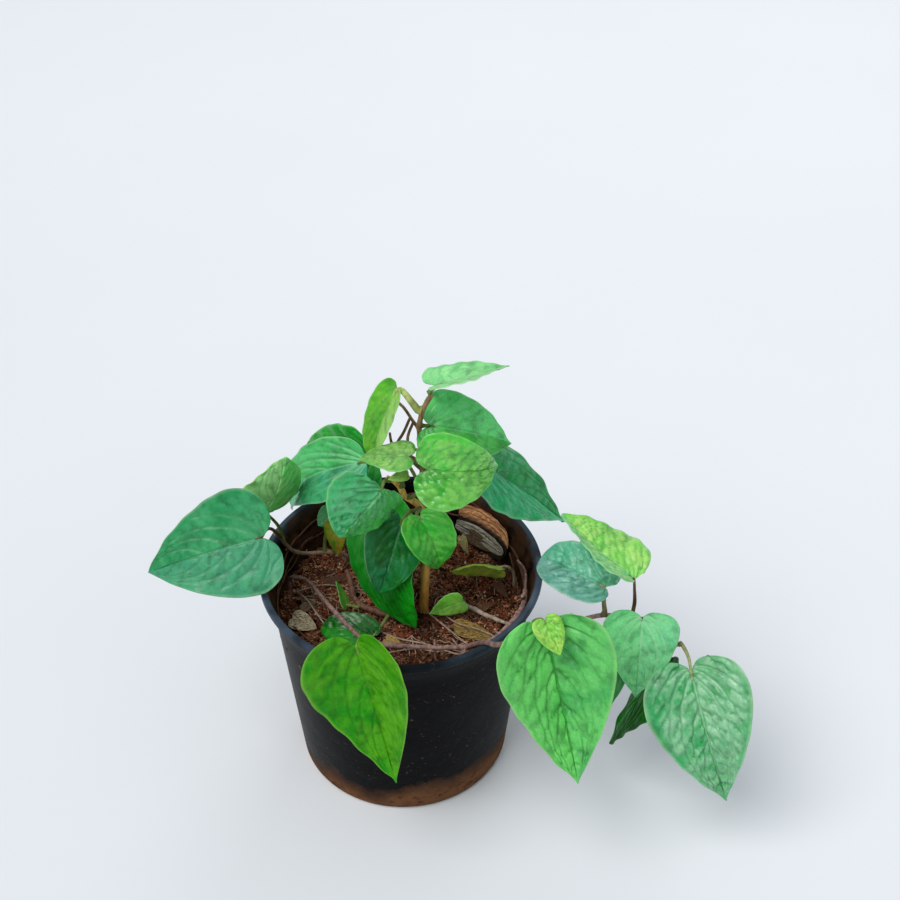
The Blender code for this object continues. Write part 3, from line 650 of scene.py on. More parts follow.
STEMS = {
    "stem_main": [
        ([(12, -7, 98), (12, -7, 106), (12.5, -7, 119), (13, -6.5, 131), (14, -1, 146),
          (13, 3, 158), (9, 1, 168), (4, -4, 176), (2, -7, 183), (-1, -8, 189), (-5, -9, 193)],
         2.6, 1.2)],
    "stem_back": [
        ([(12, 12, 98), (12, 12, 108), (12, 12, 125), (12, 11, 145), (12, 10, 170), (12, 8, 190),
          (11, 5, 204), (11, 1, 212), (11, -2, 220), (13, -3, 230), (17, -1, 237)], 2.0, 1.2),
        ([(11, 5, 204), (10, 9, 209), (7, 9, 215), (3, 12, 220), (-1, 15, 222)], 0.9, 0.7),
        ([(12, 8, 188), (6, 9, 192), (-2, 8, 197), (0, 8, 202), (3, 8, 208), (6, 8, 216)], 0.9, 0.7),
        ([(-2, 8, 197), (-3.5, 9, 202), (-4, 10, 206)], 0.8, 0.6),
        ([(11.5, 7, 196), (6, 6, 201), (5, 7, 206), (8, 9, 214)], 0.8, 0.7)],
    "stem_brown": [
        ([(4, -15, 98), (4, -15, 104), (-2, -17, 107), (-10, -15, 107), (-19, -10, 106),
          (-25, -3, 106), (-27, 6, 106.5), (-30, 16, 108)], 1.7, 1.4)],
    "runner_left": [
        ([(-31, 32, 98), (-31, 32, 103.5), (-34, 32.5, 106), (-41, 32, 107), (-52, 30, 108),
          (-58.5, 27, 112), (-62.5, 24.5, 119), (-65, 21, 128), (-67, 19, 132)], 1.1, 1.1)],
    "runner_front": [
        ([(-61, 13, 98), (-61, 13, 104), (-58, 10, 109), (-49, 3, 112), (-36, -19, 115),
          (-24, -38, 118), (-16, -50, 122), (-6, -52, 121), (7, -50, 118), (19, -50, 117),
          (36, -49, 117), (47, -44.5, 117.5), (54.5, -36.5, 118), (60.3, -28, 118.5),
          (63.2, -21, 118.5), (64.3, -15, 118), (64.8, -9, 117.5)], 1.0, 1.3),
        ([(64.6, -12, 118), (65.2, -5, 117), (65.8, 3, 116.5), (65, 11, 115), (62, 18, 114)],
         0.8, 0.6),
        ([(34, -49.2, 117), (39, -54, 124), (43, -60, 131.5), (48, -63.5, 133), (56, -61, 132.5),
          (66, -55, 131), (76, -46, 128), (90, -36, 122), (104, -28, 118), (120, -25, 113),
          (130, -27, 110), (138, -31, 107), (142, -37, 105)], 1.4, 1.1),
        ([(18, -49.5, 117.5), (18, -46, 118.5)], 0.7, 0.5),
        ([(18, -50.5, 116.5), (18.5, -52, 111)], 0.7, 0.5),
        ([(30, -49.5, 117), (27, -44, 117)], 0.6, 0.4),
        ([(64, -15, 118), (63, -18, 121), (62.8, -20, 124)], 1.4, 0.9)],
    "twig_dry": [
        ([(34, -8, 98), (34, -8, 104), (38, -11, 106), (44, -16, 106.5), (50, -20, 107),
          (56, -24, 107.5)], 1.7, 0.8)],
}


def outline_share(s, taper):
    """Half width of the blade at the row s, 0 at the petiole and 1 at the tip."""
    peak = 0.5 / (0.5 + taper)
    top = peak ** 0.5 * (1 - peak) ** taper
    heart = EAR * (1 - s) ** 3
    body = s ** 0.5 * (1 - s) ** taper / top * (1 - EAR * (1 - peak) ** 3)
    return heart + body


def blade_frame(form):
    """Length, forward, side and face directions of a leaf."""
    run = form["tip"] - form["base"]
    forward = run.normalized()
    turn, rise = (math.radians(angle) for angle in form["face"])
    face = Vector((math.cos(rise) * math.sin(turn), -math.cos(rise) * math.cos(turn),
                   math.sin(rise)))
    face = (face - face.dot(forward) * forward).normalized()
    return run.length, forward, forward.cross(face), face


def blade_surface(form, s, t):
    """Middle surface of the blade at arrays of s, along it, and t, across it."""
    length, forward, side, face = blade_frame(form)
    forward, side, face, base = (np.array(v) for v in (forward, side, face, form["base"]))
    across = np.abs(t)
    half = 0.5 * form["width"] * outline_share(s, form["taper"])
    along = s - form["lobe"] * (1 - s) * (1 - (1 - across) ** 2.5)
    fold = np.radians(np.where(t < 0, form["fold"][0], form["fold"][1]))
    reach = half * across
    soft = np.sqrt(reach ** 2 + (0.8 * MM) ** 2) - 0.8 * MM
    lift = soft * np.sin(fold) - form["camber"] * reach ** 2 / (0.5 * form["width"])
    lift = lift + form["bow"] * length * np.sin(np.pi * np.maximum(along, -0.5))
    lift = lift + form["wave"] * form["width"] * across ** 3 * np.sin(3 * np.pi * s + 1.5 * (t < 0))
    lift = lift + form["width"] * 0.012 * across ** 4 * np.sin(11 * np.pi * s + 4.1 * (t < 0)
                                                               + 37 * form["width"] / MM)
    offset = np.sign(t) * reach * np.cos(fold)
    place = (base + (along * length)[..., None] * forward + offset[..., None] * side
             + lift[..., None] * face)
    return place, half, length


# Veins of one half: where each leaves the midrib, where it nears the rim, its
# curve, how far out it runs and its width in mm
SIDE_VEINS = ((0.0, 0.22, 0.55, 0.90, 0.50), (0.0, 0.58, 0.62, 0.90, 0.60), (0.04, 0.88, 0.72, 0.86, 0.60),
              (0.26, 0.93, 0.80, 0.80, 0.42), (0.48, 0.97, 0.85, 0.72, 0.32))


def vein_map(s, t, half, length, stretch):
    """How close each place is to a vein, 1 on it, and to the midrib."""
    across = np.abs(t)
    near = np.zeros_like(s)
    for start, end, curve, out, wide in SIDE_VEINS:
        run = np.clip((s - start) / (end - start), 0, 1)
        line = out * run ** curve
        slope = np.where((s > start) & (s < end),
                         out * curve * np.maximum(run, 0.02) ** (curve - 1) / (end - start), 0)
        lean = np.sqrt(1 + (half * slope / length) ** 2)
        gap = np.abs(across - line) * half / lean
        gap = np.where(s < start, np.hypot((start - s) * length, across * half), gap)
        gap = np.where(s > end, np.hypot((s - end) * length, gap), gap)
        fade = wide * (1.15 - 0.6 * run) * MM * stretch
        near = np.maximum(near, np.exp(-(gap / fade) ** 2) * (1 - 0.8 * run ** 1.5))
    rib_width = (1.0 - 0.75 * s) * 0.75 * MM * stretch
    rib = np.exp(-(across * half / np.maximum(rib_width, 0.1 * MM)) ** 2)
    return near, rib


def scatter_of(a, b):
    """An even draw from 0 to 1 for each pair of whole numbers."""
    spin = np.sin(a * 127.1 + b * 311.7) * 43758.5453
    return spin - np.floor(spin)


def branch_map(s, t, half, length, step, crumple):
    """Branches that leave the main veins slantwise: how near one is, and the swell between them."""
    across = np.abs(t)
    band = 7.0 * (t < 0)
    for start, end, curve, out, _ in SIDE_VEINS:
        run = np.clip((s - start) / (end - start), 0, 1)
        band = band + (across > out * run ** curve)
    along = (s * length - BRANCH_SLANT * across * half) / step + 0.5 * crumple + scatter_of(band, 1.0)
    line = np.round(along)
    near = np.exp(-((along - line) * step / BRANCH_WIDTH) ** 2) * (0.35 + 0.65 * scatter_of(line, band))
    swell = np.sqrt(np.abs(np.sin(np.pi * along)))
    return near, swell


def pucker_map(x, y, size, seed):
    """Small blisters between the finest veins: a jittered grid of round swells."""
    u = x / size
    v = y / size
    first = np.full(x.shape, 9.0)
    for i in (-1, 0, 1):
        for j in (-1, 0, 1):
            column = np.floor(u) + i
            row = np.floor(v) + j
            gap = np.hypot(u - column - 0.1 - 0.8 * scatter_of(column + seed, row),
                           v - row - 0.1 - 0.8 * scatter_of(row, column - seed))
            first = np.minimum(first, gap)
    return 1 - np.clip(first / 0.8, 0, 1) ** 2


def waves_map(x, y, size, seed):
    """Soft uneven waves, about -1 to 1."""
    values = [noise.fractal((a, b, seed), 0.9, 2.2, 3) for a, b in zip((x / size).flat, (y / size).flat)]
    return np.array(values).reshape(x.shape)


def grid_normals(place):
    """Unit normals of a grid of points."""
    down = np.gradient(place, axis=0)
    over = np.gradient(place, axis=1)
    normal = np.cross(down, over)
    return normal / np.maximum(np.linalg.norm(normal, axis=2, keepdims=True), 1e-12)


def blade_grid(form):
    """Rows and columns of a blade, closest at its ends and its midrib."""
    length = blade_frame(form)[0]
    rows = int(min(max(length / ROW_STEP, 30), 120))
    columns = 2 * int(min(max(form["width"] / COLUMN_STEP, 13), 46))
    s = (1 - np.cos(np.pi * np.linspace(0, 1, rows + 1))) / 2
    s[-1] = LAST_ROW
    t = np.linspace(-1, 1, columns + 1)
    t = np.sign(t) * np.abs(t) ** 1.15
    return np.meshgrid(s, t, indexing="ij")


def blade_relief(look, seed, s, t, half, length):
    """Height of the quilting, depth of the ribs underneath, and the maps for the finish."""
    stretch = min(max(length / VEINED_LENGTH, 0.45), 1.15)
    veins, rib = vein_map(s, t, half, length, stretch)
    flat_x = s * length
    flat_y = t * half
    cell = look["cell"] * MM
    crumple = waves_map(flat_x, flat_y, cell * 1.3, seed)
    net, swell = branch_map(s, t, half, length, cell, crumple)
    blister = pucker_map(flat_x, flat_y, 0.55 * cell, seed)
    rim = np.abs(t)
    calm = np.clip((1 - rim) * 5, 0, 1) * np.clip((1 - s) * 7, 0, 1) * np.clip(half / (4 * MM), 0, 1)
    dome = swell * (1 - veins) * (1 - rib)
    relief = QUILT_RISE * look["quilt"] * (dome - 0.6 + 0.8 * crumple) + look["pucker"] * (blister - 0.5)
    relief -= look["groove"] * stretch * np.maximum(veins, 0.9 * rib) + 0.5 * look["quilt"] * net
    ridge = RIB_DEPTH * stretch * rib * np.clip((0.95 - s) * 2, 0, 1) + VEIN_DEPTH * veins * calm
    # Where highlights are painted on the blade, its domes and blisters; the finish reads it as dome
    shine = np.clip(dome * (0.75 + 0.5 * crumple) + look["pucker"] * (blister - 0.4), 0, 1) * calm
    return relief * MM * calm, ridge, {
        "half": np.clip(0.5 + flat_y / (2 * MM), 0, 1),
        "vein": np.maximum(veins, rib * np.clip((1 - s) * 3, 0, 1)),
        "net": net * calm, "dome": shine, "rim": rim}


def shell_faces(upper, face):
    """Faces of a blade: its upper side, its lower side and the rim between them."""
    count = upper.shape[0] * upper.shape[1]
    index = np.arange(count).reshape(upper.shape[:2])
    quads = np.stack([index[:-1, :-1], index[1:, :-1], index[1:, 1:], index[:-1, 1:]], -1).reshape(-1, 4)
    middle = upper.shape[1] // 2
    turn = np.cross(upper[1, middle] - upper[0, middle], upper[0, middle + 1] - upper[0, middle])
    if turn @ np.array(face) < 0:
        quads = quads[:, ::-1]
    border = np.concatenate([index[0, :], index[1:, -1], index[-1, -2::-1], index[-2:0:-1, 0]])
    following = np.roll(border, -1)
    strip = np.stack([border, following, following + count, border + count], -1)
    a, b = border[0], border[1]
    corner = quads[((quads == a).any(1)) & ((quads == b).any(1))][0].tolist()
    if corner[(corner.index(a) + 1) % 4] == b:
        strip = strip[:, ::-1]
    return np.concatenate([quads, quads[:, ::-1] + count, strip])


def blade_mesh(name, form, look, seed):
    """A veined, quilted blade with a thin rim, as a closed mesh."""
    s, t = blade_grid(form)
    face = blade_frame(form)[3]
    place, half, length = blade_surface(form, s, t)
    normal = grid_normals(place)
    if normal[s.shape[0] // 2, s.shape[1] // 2] @ np.array(face) < 0:
        normal = -normal
    relief, ridge, maps = blade_relief(look, seed, s, t, half, length)
    thick = BLADE_EDGE + (BLADE - BLADE_EDGE) * np.clip((1 - np.abs(t)) * 5, 0, 1)
    upper = place + (relief + thick / 2)[..., None] * normal
    lower = place + (relief * 0.8 - thick / 2 - ridge)[..., None] * normal
    points = np.concatenate([upper.reshape(-1, 3), lower.reshape(-1, 3)])
    mesh = bpy.data.meshes.new(name)
    mesh.from_pydata(points.tolist(), [], shell_faces(upper, face).tolist())
    for map_name, values in maps.items():
        paint(mesh, map_name, np.tile(values.reshape(-1), 2))
    paint(mesh, "under", np.repeat((0.0, 1.0), s.size))
    layer = mesh.uv_layers.new(name="blade")
    corner = np.zeros(len(mesh.loops), dtype=np.int32)
    mesh.loops.foreach_get("vertex_index", corner)
    unrolled = np.stack([np.tile(t.reshape(-1), 2), np.tile(s.reshape(-1), 2)], -1)
    layer.data.foreach_set("uv", unrolled[corner].reshape(-1))
    return mesh


def paint(mesh, name, values):
    """A value at every point, for the finish to read."""
    layer = mesh.attributes.new(name, "FLOAT", "POINT")
    layer.data.foreach_set("value", np.asarray(values, dtype=np.float32))


def stem_route(name, run=0, steps=6):
    """A run's smooth route; a rooted stem first goes straight down into its hole."""
    points = [point(*place) for place in STEMS[name][run][0]]
    if run == 0:
        foot = points[0] - Vector((0, 0, ROOT_DEPTH))
        return [foot] + smooth_route(points, steps)
    return smooth_route(points, steps)


def nearest_stem(name, place):
    """A stem's closest centre point to a place, its direction and its radius there."""
    found = []
    for i, (_, thick, thin) in enumerate(STEMS[name]):
        route = stem_route(name, i, 2)
        for k, (a, b) in enumerate(zip(route, route[1:])):
            run = b - a
            share = min(max((place - a).dot(run) / run.length_squared, 0), 1)
            centre = a + run * share
            radius = thick + (thin - thick) * (k + share) / (len(route) - 1)
            found.append(((centre - place).length, i, k, centre, run.normalized(), radius * MM))
    return min(found)[3:]


def petiole_route(form):
    """From the stem, through the leaf's own points, into the blade's base."""
    near = point(*form["near"])
    first = form["via"][0]
    if form["on"] == "soil":
        start = [near - Vector((0, 0, ROOT_DEPTH)), near + Vector((0, 0, 4 * MM))]
    else:
        centre, along, radius = nearest_stem(form["on"], near)
        away = first - centre
        away = (away - away.dot(along) * along).normalized()
        start = [centre + away * (radius - 0.4 * MM), centre + away * (radius + GAP + MM)]
    place, _, _ = blade_surface(form, np.array([0.0, MIDRIB_SHARE]), np.array([0.0, 0.0]))
    normal = blade_frame(form)[3]
    inner = Vector(place[1]) - normal * 0.7 * MM
    meet = form["base"] - normal * 0.4 * MM
    return start[:1] + smooth_route([start[1]] + form["via"] + [meet], 5) + [inner]


# Finish of a leaf unless its own look says otherwise: colours of the veins and the rim,
# shares of mottling, painted highlight on the domes, vein colour, rim colour and painted shade
# in the net of branch veins, depths of quilting, blisters and grooves, spacing of the branches
# in mm, gloss, and its petiole

PLAIN_LOOK = {
    "vein": (150, 200, 140), "edge": (178, 214, 170), "mottle": 0.4, "crest": 0.5, "veins": 0.2,
    "edging": 0.42, "net": 0.4, "quilt": 0.45, "pucker": 0.0, "groove": 0.5, "cell": 7.0,
    "rough": 0.36, "coat": 0.15, "sheen": 0.3, "stalk": (130, 150, 80), "girth": 1.0}


def look(left, right, patch=None, **own):
    """A leaf's finish from the colours of its two halves, with bright and deep tones of their mean."""
    mean = [(a + b) / 2 for a, b in zip(left, right)]
    made = {**PLAIN_LOOK, **own, "left": left, "right": right}
    made["patch"] = patch or [min(c * share + rise, 255)
                              for c, share, rise in zip(mean, (1.1, 1.08, 1.1), (34, 22, 16))]
    made["deep"] = [c * share for c, share in zip(mean, (0.5, 0.64, 0.54))]
    made["under"] = [c * 0.84 + rise for c, rise in zip(mean, (20, 26, 18))]
    for part in ("left", "right", "vein", "edge", "patch", "deep", "under"):
        made[part] = tint(*made[part])
    return made


LOOKS = {
    "leaf_left_large": look((64, 155, 115), (26, 149, 82), vein=(150, 214, 170), veins=0.14,
                            quilt=0.35, stalk=(120, 96, 70), edge=(150, 190, 150)),
    # Painted light: its own green raised much paler, as the leaf is turned away from the lamps
    "leaf_left_folded": look((176, 250, 160), (132, 244, 128), edge=(190, 222, 120), edging=0.8,
                             vein=(170, 220, 150), veins=0.5),
    "leaf_back_wavy": look((44, 156, 113), (71, 193, 96), vein=(170, 230, 190), veins=0.35,
                           quilt=0.5, groove=0.6, sheen=0.35),
    # Painted light: its own dark green raised much brighter, as the leaf hangs in shade
    "leaf_back_dark": look((40, 214, 84), (48, 186, 62), edging=0.3, coat=0.3),
    "leaf_top_hanging": look((150, 206, 96), (82, 188, 4), edging=0.3, quilt=0.2, groove=0.3,
                             stalk=(196, 218, 132), girth=1.8),
    "leaf_top_pale": look((120, 216, 133), (142, 216, 143), quilt=0.3, groove=0.35,
                          vein=(196, 240, 190), edge=(210, 244, 200), stalk=(130, 190, 110)),
    "leaf_upper_right": look((97, 216, 124), (37, 159, 41), vein=(150, 214, 160), veins=0.4, quilt=0.4,
                             stalk=(100, 140, 60)),
    "leaf_right_teal": look((2, 156, 63), (30, 189, 114), vein=(120, 190, 150), veins=0.4,
                            quilt=0.4, groove=0.7, edging=0.4, sheen=0.15, patch=(60, 170, 116)),
    "leaf_centre_round": look((57, 208, 50), (34, 172, 17), patch=(156, 226, 106), crest=0.5,
                              quilt=0.5, pucker=0.85, cell=6, rough=0.24, coat=0.8,
                              edge=(150, 220, 120)),
    "leaf_crown_small": look((71, 174, 64), (52, 143, 43), patch=(182, 230, 126), crest=0.6,
                             quilt=0.35, pucker=0.5, cell=5, groove=0.4, edge=(190, 230, 150)),
    "leaf_centre_left": look((88, 216, 96), (46, 181, 102), patch=(120, 200, 150), crest=0.5,
                             quilt=0.75, pucker=0.3, cell=6, groove=0.9, rough=0.28, coat=0.7,
                             edge=(160, 214, 130)),
    "leaf_centre_small": look((46, 179, 40), (22, 162, 28), patch=(130, 210, 90), crest=0.4, quilt=0.45,
                              pucker=0.2, cell=5, groove=0.8, edge=(150, 214, 110)),
    "leaf_middle_teal": look((2, 121, 32), (2, 93, 4), edging=0.2, veins=0.1, quilt=0.5,
                             patch=(40, 140, 96), sheen=0.2),
    "leaf_inner_long": look((9, 180, 13), (2, 120, 6), edging=0.1, veins=0.1, quilt=0.35,
                            patch=(40, 140, 50), sheen=0.15),
    "leaf_inner_yellow": look((62, 158, 4), (60, 158, 12), quilt=0.2, cell=5, edging=0.2,
                              patch=(206, 120, 40), mottle=0.6),
    # Painted light: its own green raised much paler, as the leaf sits deep in shade
    "leaf_inner_grey": look((104, 214, 148), (124, 220, 154), quilt=0.2, cell=5, edging=0.4),
    "leaf_soil_right": look((119, 179, 77), (121, 216, 65), quilt=0.15, cell=5, edging=0.4, groove=0.2,
                            stalk=(150, 140, 110)),
    # Painted light: its own yellow-green raised far paler, as the leaf lies in shade
    "leaf_soil_narrow": look((230, 252, 100), (150, 206, 60), quilt=0.15, cell=5, edging=0.4,
                             groove=0.2, stalk=(190, 180, 150)),
    "leaf_soil_glossy": look((4, 136, 4), (2, 84, 8), quilt=0.4, cell=5, rough=0.32, coat=0.5,
                             edging=0.1, veins=0.05, groove=0.4, mottle=0.2, net=0.1),
    "leaf_soil_tiny": look((83, 159, 50), (99, 185, 45), quilt=0.15, cell=5, edging=0.3, groove=0.2),
    "leaf_front_left": look((51, 145, 2), (22, 153, 2), vein=(130, 190, 60), veins=0.15, quilt=0.45,
                            cell=8, groove=0.3, mottle=0.5, edge=(150, 200, 80),
                            stalk=(140, 176, 90), sheen=0.12, net=0.12, coat=0.08,
                            patch=(110, 190, 30)),
    # Its dark vein colour is painted shade in the leaf's deep vein grooves
    "leaf_front_right": look((80, 182, 95), (104, 216, 99), vein=(58, 150, 62), veins=0.14,
                             quilt=1.0, cell=10, groove=0.7, net=0.3, crest=0.45,
                             edge=(160, 220, 130), stalk=(120, 150, 90)),
    "leaf_front_bud": look((126, 216, 64), (139, 216, 77), patch=(206, 244, 110), crest=0.7, quilt=0.6,
                           pucker=0.7, cell=4, groove=0.5, net=0.6, edging=0.3, coat=0.3),
    "leaf_vine_middle": look((114, 208, 147), (107, 213, 131), vein=(190, 236, 190), veins=0.5,
                             quilt=0.4, groove=0.4, stalk=(120, 84, 70)),
    "leaf_vine_end": look((85, 177, 114), (40, 171, 92), patch=(176, 224, 184), crest=0.7,
                          vein=(180, 226, 190), veins=0.5, quilt=1.0, pucker=0.25, cell=6.5,
                          groove=0.55, rough=0.3, coat=0.4, stalk=(176, 186, 130), net=0.15),
    "leaf_vine_hanging": look((2, 84, 2), (2, 130, 2), edging=0.1, veins=0.05, quilt=0.25, sheen=0.12),
    "leaf_vine_behind": look((34, 128, 59), (45, 149, 78), veins=0.15, edging=0.3, sheen=0.2),
    "leaf_vine_quilted": look((95, 165, 152), (81, 195, 149), patch=(150, 210, 190), crest=0.5,
                              quilt=0.9, pucker=0.4, cell=6, groove=0.8, net=0.4, rough=0.3,
                              coat=0.4, stalk=(160, 150, 108), girth=1.25),
    "leaf_vine_bright": look((122, 216, 147), (121, 216, 85), patch=(200, 244, 130), crest=0.6,
                             quilt=0.5, pucker=0.6, cell=5, groove=0.5, net=0.5, rough=0.3, coat=0.4,
                             stalk=(130, 84, 64)),
}


# A small olive bract on the petiole of the little crown leaf, and its own stalk

BRACT = leaf((5.5, -14.5, 199.3), (-4, -17.5, 198.6), 5.5, (-10, 40), (12, 5), 0.1, 0.05, 0.8)
BRACT_STALK = ((2, -12, 196.5), (4, -13, 198), (5.5, -14.5, 199.1))
BRACT_LOOK = look((150, 200, 74), (124, 184, 60), cell=4, quilt=0.2)


def bract_parts(skin):
    """The bract's blade and stalk, and their finishes."""
    blade = blade_mesh("bract", BRACT, BRACT_LOOK, 77)
    route = smooth_route([point(*place) for place in BRACT_STALK], 4)
    ribbon = stalk(route, 0.6 * MM, 0.45 * MM, skin, sides=8)
    return [blade, ribbon], [leaf_finish("bract_blade", BRACT_LOOK), skin]


def shades(colour, middle, deep):
    """A colour and two darker ones, by the shares of red, green and blue."""
    return [tint(*(c * share for c, share in zip(colour, shares)))
            for shares in ((1, 1, 1), middle, deep)]


def build_leaves():
    """Every leaf with its petiole; the little crown leaf has the bract too."""
    for order, (name, form) in enumerate(LEAVES.items()):
        own = LOOKS[name]
        girth = own["girth"]
        skin = stalk_finish(name + "_stalk", *shades(own["stalk"], (0.8, 0.75, 0.7), (0.6, 0.6, 0.5)))
        meshes = [blade_mesh(name, form, own, order * 3.7),
                  stalk(petiole_route(form), PETIOLE_ROOT * girth, PETIOLE_TIP * 0.85 * girth, skin,
                        sides=10, knots=((0.0, 0.25), (0.03, 0.2)))]
        skins = [leaf_finish(name + "_blade", own), skin]
        if name == "leaf_crown_small":
            more, more_skins = bract_parts(skin)
            meshes += more
            skins += more_skins
        item = joined("visual_" + name, meshes, skins)
        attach(item, "root")
        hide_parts(name)


# Bark of each stem: young and old colour, and its specks

BARKS = {
    # stem_main: its own orange-brown, raised well above it as painted light since the leaves shade the stem
    "stem_main": ("bark_orange", (250, 208, 112), (246, 176, 92), (196, 130, 66)),
    "stem_back": ("bark_dark", (156, 122, 84), (160, 120, 94), (88, 62, 48)),
    "stem_brown": ("bark_brown", (120, 84, 66), (104, 68, 52), (58, 38, 30)),
    "runner_left": ("runner_tan", (140, 118, 98), (158, 128, 104), (96, 74, 58)),
    "runner_front": ("runner_rose", (168, 134, 126), (136, 108, 102), (88, 62, 56)),
    "twig_dry": ("twig_grey", (186, 168, 154), (176, 156, 140), (110, 94, 82)),
}


def build_stems():
    """Every stem and runner, each with swollen nodes on its first run."""
    for name, runs in STEMS.items():
        title, *colours = BARKS[name]
        skin = stalk_finish(title, *(tint(*colour) for colour in colours))
        meshes = []
        for i, (_, thick, thin) in enumerate(runs):
            knots = [(k, 0.22) for k in (0.28, 0.46, 0.63, 0.80)] if i == 0 else []
            meshes.append(stalk(stem_route(name, i, 6), thick * MM, thin * MM, skin, sides=14,
                                uneven=0.10, knots=knots))
        item = joined("visual_" + name, meshes, [skin])
        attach(item, "root")
        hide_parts(name)


# Pot and soil

def wall_radius(z):
    """Outer radius of the pot's tapering wall, which flares into a collar under the lip."""
    if z < COLLAR_LOW:
        return BASE_RADIUS + (NECK_RADIUS - BASE_RADIUS) * z / COLLAR_LOW
    flare = (z - COLLAR_LOW) / (POT_HEIGHT - COLLAR_LOW)
    return NECK_RADIUS + (RIM_RADIUS - LIP_WIDTH - NECK_RADIUS) * flare


def pot_profile():
    """Closed section: outer side down, the floor, then the inner side up to the rolled lip."""
    top = POT_HEIGHT
    lip = RIM_RADIUS
    inner = wall_radius(top) - POT_WALL
    outer = [(lip - 0.35 * MM, top - 0.12 * MM), (lip - 0.08 * MM, top - 0.5 * MM),
             (lip, top - 1.2 * MM), (lip, top - LIP_DROP + 0.8 * MM),
             (lip - 0.2 * MM, top - LIP_DROP + 0.2 * MM), (lip - 0.7 * MM, top - LIP_DROP),
             (wall_radius(top - LIP_DROP) + 0.2 * MM, top - LIP_DROP)]
    heights = [top - LIP_DROP - 0.6 * MM] + list(np.linspace(120, 112, 5) * MM) + list(
        np.linspace(108, 6, 18) * MM) + [FOOT_BEVEL]
    outer += [(wall_radius(z), z) for z in heights]
    for k in range(1, 5):
        turn = math.pi / 2 * k / 5
        outer.append((BASE_RADIUS - FOOT_BEVEL * (1 - math.cos(turn)), FOOT_BEVEL * (1 - math.sin(turn))))
    outer += [(BASE_RADIUS - FOOT_BEVEL, 0), (30 * MM, 0), (0, 0)]
    rise = [(0, POT_WALL), (30 * MM, POT_WALL), (wall_radius(POT_WALL) - POT_WALL, POT_WALL)]
    rise += [(wall_radius(z) - POT_WALL, z) for z in np.linspace(8, 122, 20) * MM]
    rise += [(inner, top - 0.5 * MM), (inner + 0.4 * MM, top - 0.1 * MM), (inner + 1.0 * MM, top),
             (lip - 0.9 * MM, top)]
    return outer, rise


def pot_wall():
    """The pot without its drain holes, very slightly out of round."""
    outer, rise = pot_profile()
    ring = outer + rise
    shape = bmesh.new()
    side = shape.verts.layers.float.new("inner")
    columns = []
    for k in range(POT_TURNS):
        turn = 2 * math.pi * k / POT_TURNS
        column = []
        for i, (r, z) in enumerate(ring):
            sway = 1.0
            if z > 5 * MM and r > 40 * MM:
                sway += POT_SWAY * math.sin(3 * turn + 1.0) * (z / POT_HEIGHT)
            vert = shape.verts.new((r * sway * math.cos(turn), r * sway * math.sin(turn), z))
            vert[side] = float(len(outer) <= i < len(ring) - 3)
            column.append(vert)
        columns.append(column)
    for k in range(POT_TURNS):
        here, there = columns[k], columns[(k + 1) % POT_TURNS]
        for i in range(len(ring)):
            j = (i + 1) % len(ring)
            if ring[i][0] == 0 and ring[j][0] == 0:
                continue
            shape.faces.new((here[i], here[j], there[j], there[i]))
    bmesh.ops.remove_doubles(shape, verts=shape.verts, dist=0.00001)
    return closed_mesh("visual_pot", shape)


def drill_hole(pot, k):
    """One more drain hole through the pot's floor."""
    turn = 2 * math.pi * (k + 0.5) / DRAIN_HOLES
    rod = bmesh.new()
    bmesh.ops.create_cone(rod, cap_ends=True, segments=24, radius1=DRAIN_RADIUS, radius2=DRAIN_RADIUS,
                          depth=DRILL_LENGTH)
    bmesh.ops.translate(rod, verts=rod.verts,
                        vec=(DRAIN_RING * math.cos(turn), DRAIN_RING * math.sin(turn), 0))
    drill = shown("drain", as_mesh("drain", rod))
    cut = pot.modifiers.new("drain", "BOOLEAN")
    cut.operation = "DIFFERENCE"
    cut.solver = "MANIFOLD"
    cut.object = drill
    bpy.context.view_layer.update()
    pierced = bpy.data.meshes.new_from_object(pot.evaluated_get(bpy.context.evaluated_depsgraph_get()))
    pot.modifiers.clear()
    pot.data = pierced
    bpy.data.objects.remove(drill, do_unlink=True)


def build_pot():
    """The pot with its drain holes."""
    pot = shown("visual_pot", pot_wall())
    for k in range(DRAIN_HOLES):
        drill_hole(pot, k)
    pot.data.materials.clear()
    pot.data.materials.append(pot_finish())
    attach(pot, "root")
    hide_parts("pot")


def soil_height(x, y):
    """Lumpy mounded top of the soil."""
    inner = wall_radius(SOIL_EDGE) - POT_WALL - GAP
    share = min(math.hypot(x, y) / inner, 1)
    lumps = noise.noise(Vector((x, y, 0.37)) / LUMP_SIZE)
    return SOIL_EDGE + SOIL_MOUND * (1 - share ** 2) + SOIL_RELIEF * lumps


def soil_surface(x, y):
    """The same top with clods and pits."""
    clods = noise.fractal(Vector((x, y, 0.1)) / CLOD_SIZE, 0.8, 2.1, 4)
    pits = max(noise.noise(Vector((x, y, 0.7)) / PIT_SIZE) - 0.08, 0)
    return soil_height(x, y) + (0.9 * clods - 4.5 * pits) * MM


def soil_loop(shape, r, height):
    """A ring of points round the soil; the height is one value or follows the place."""
    loop = []
    for k in range(SOIL_TURNS):
        turn = 2 * math.pi * k / SOIL_TURNS
        x, y = r * math.cos(turn), r * math.sin(turn)
        loop.append(shape.verts.new((x, y, height(x, y) if callable(height) else height)))
    return loop


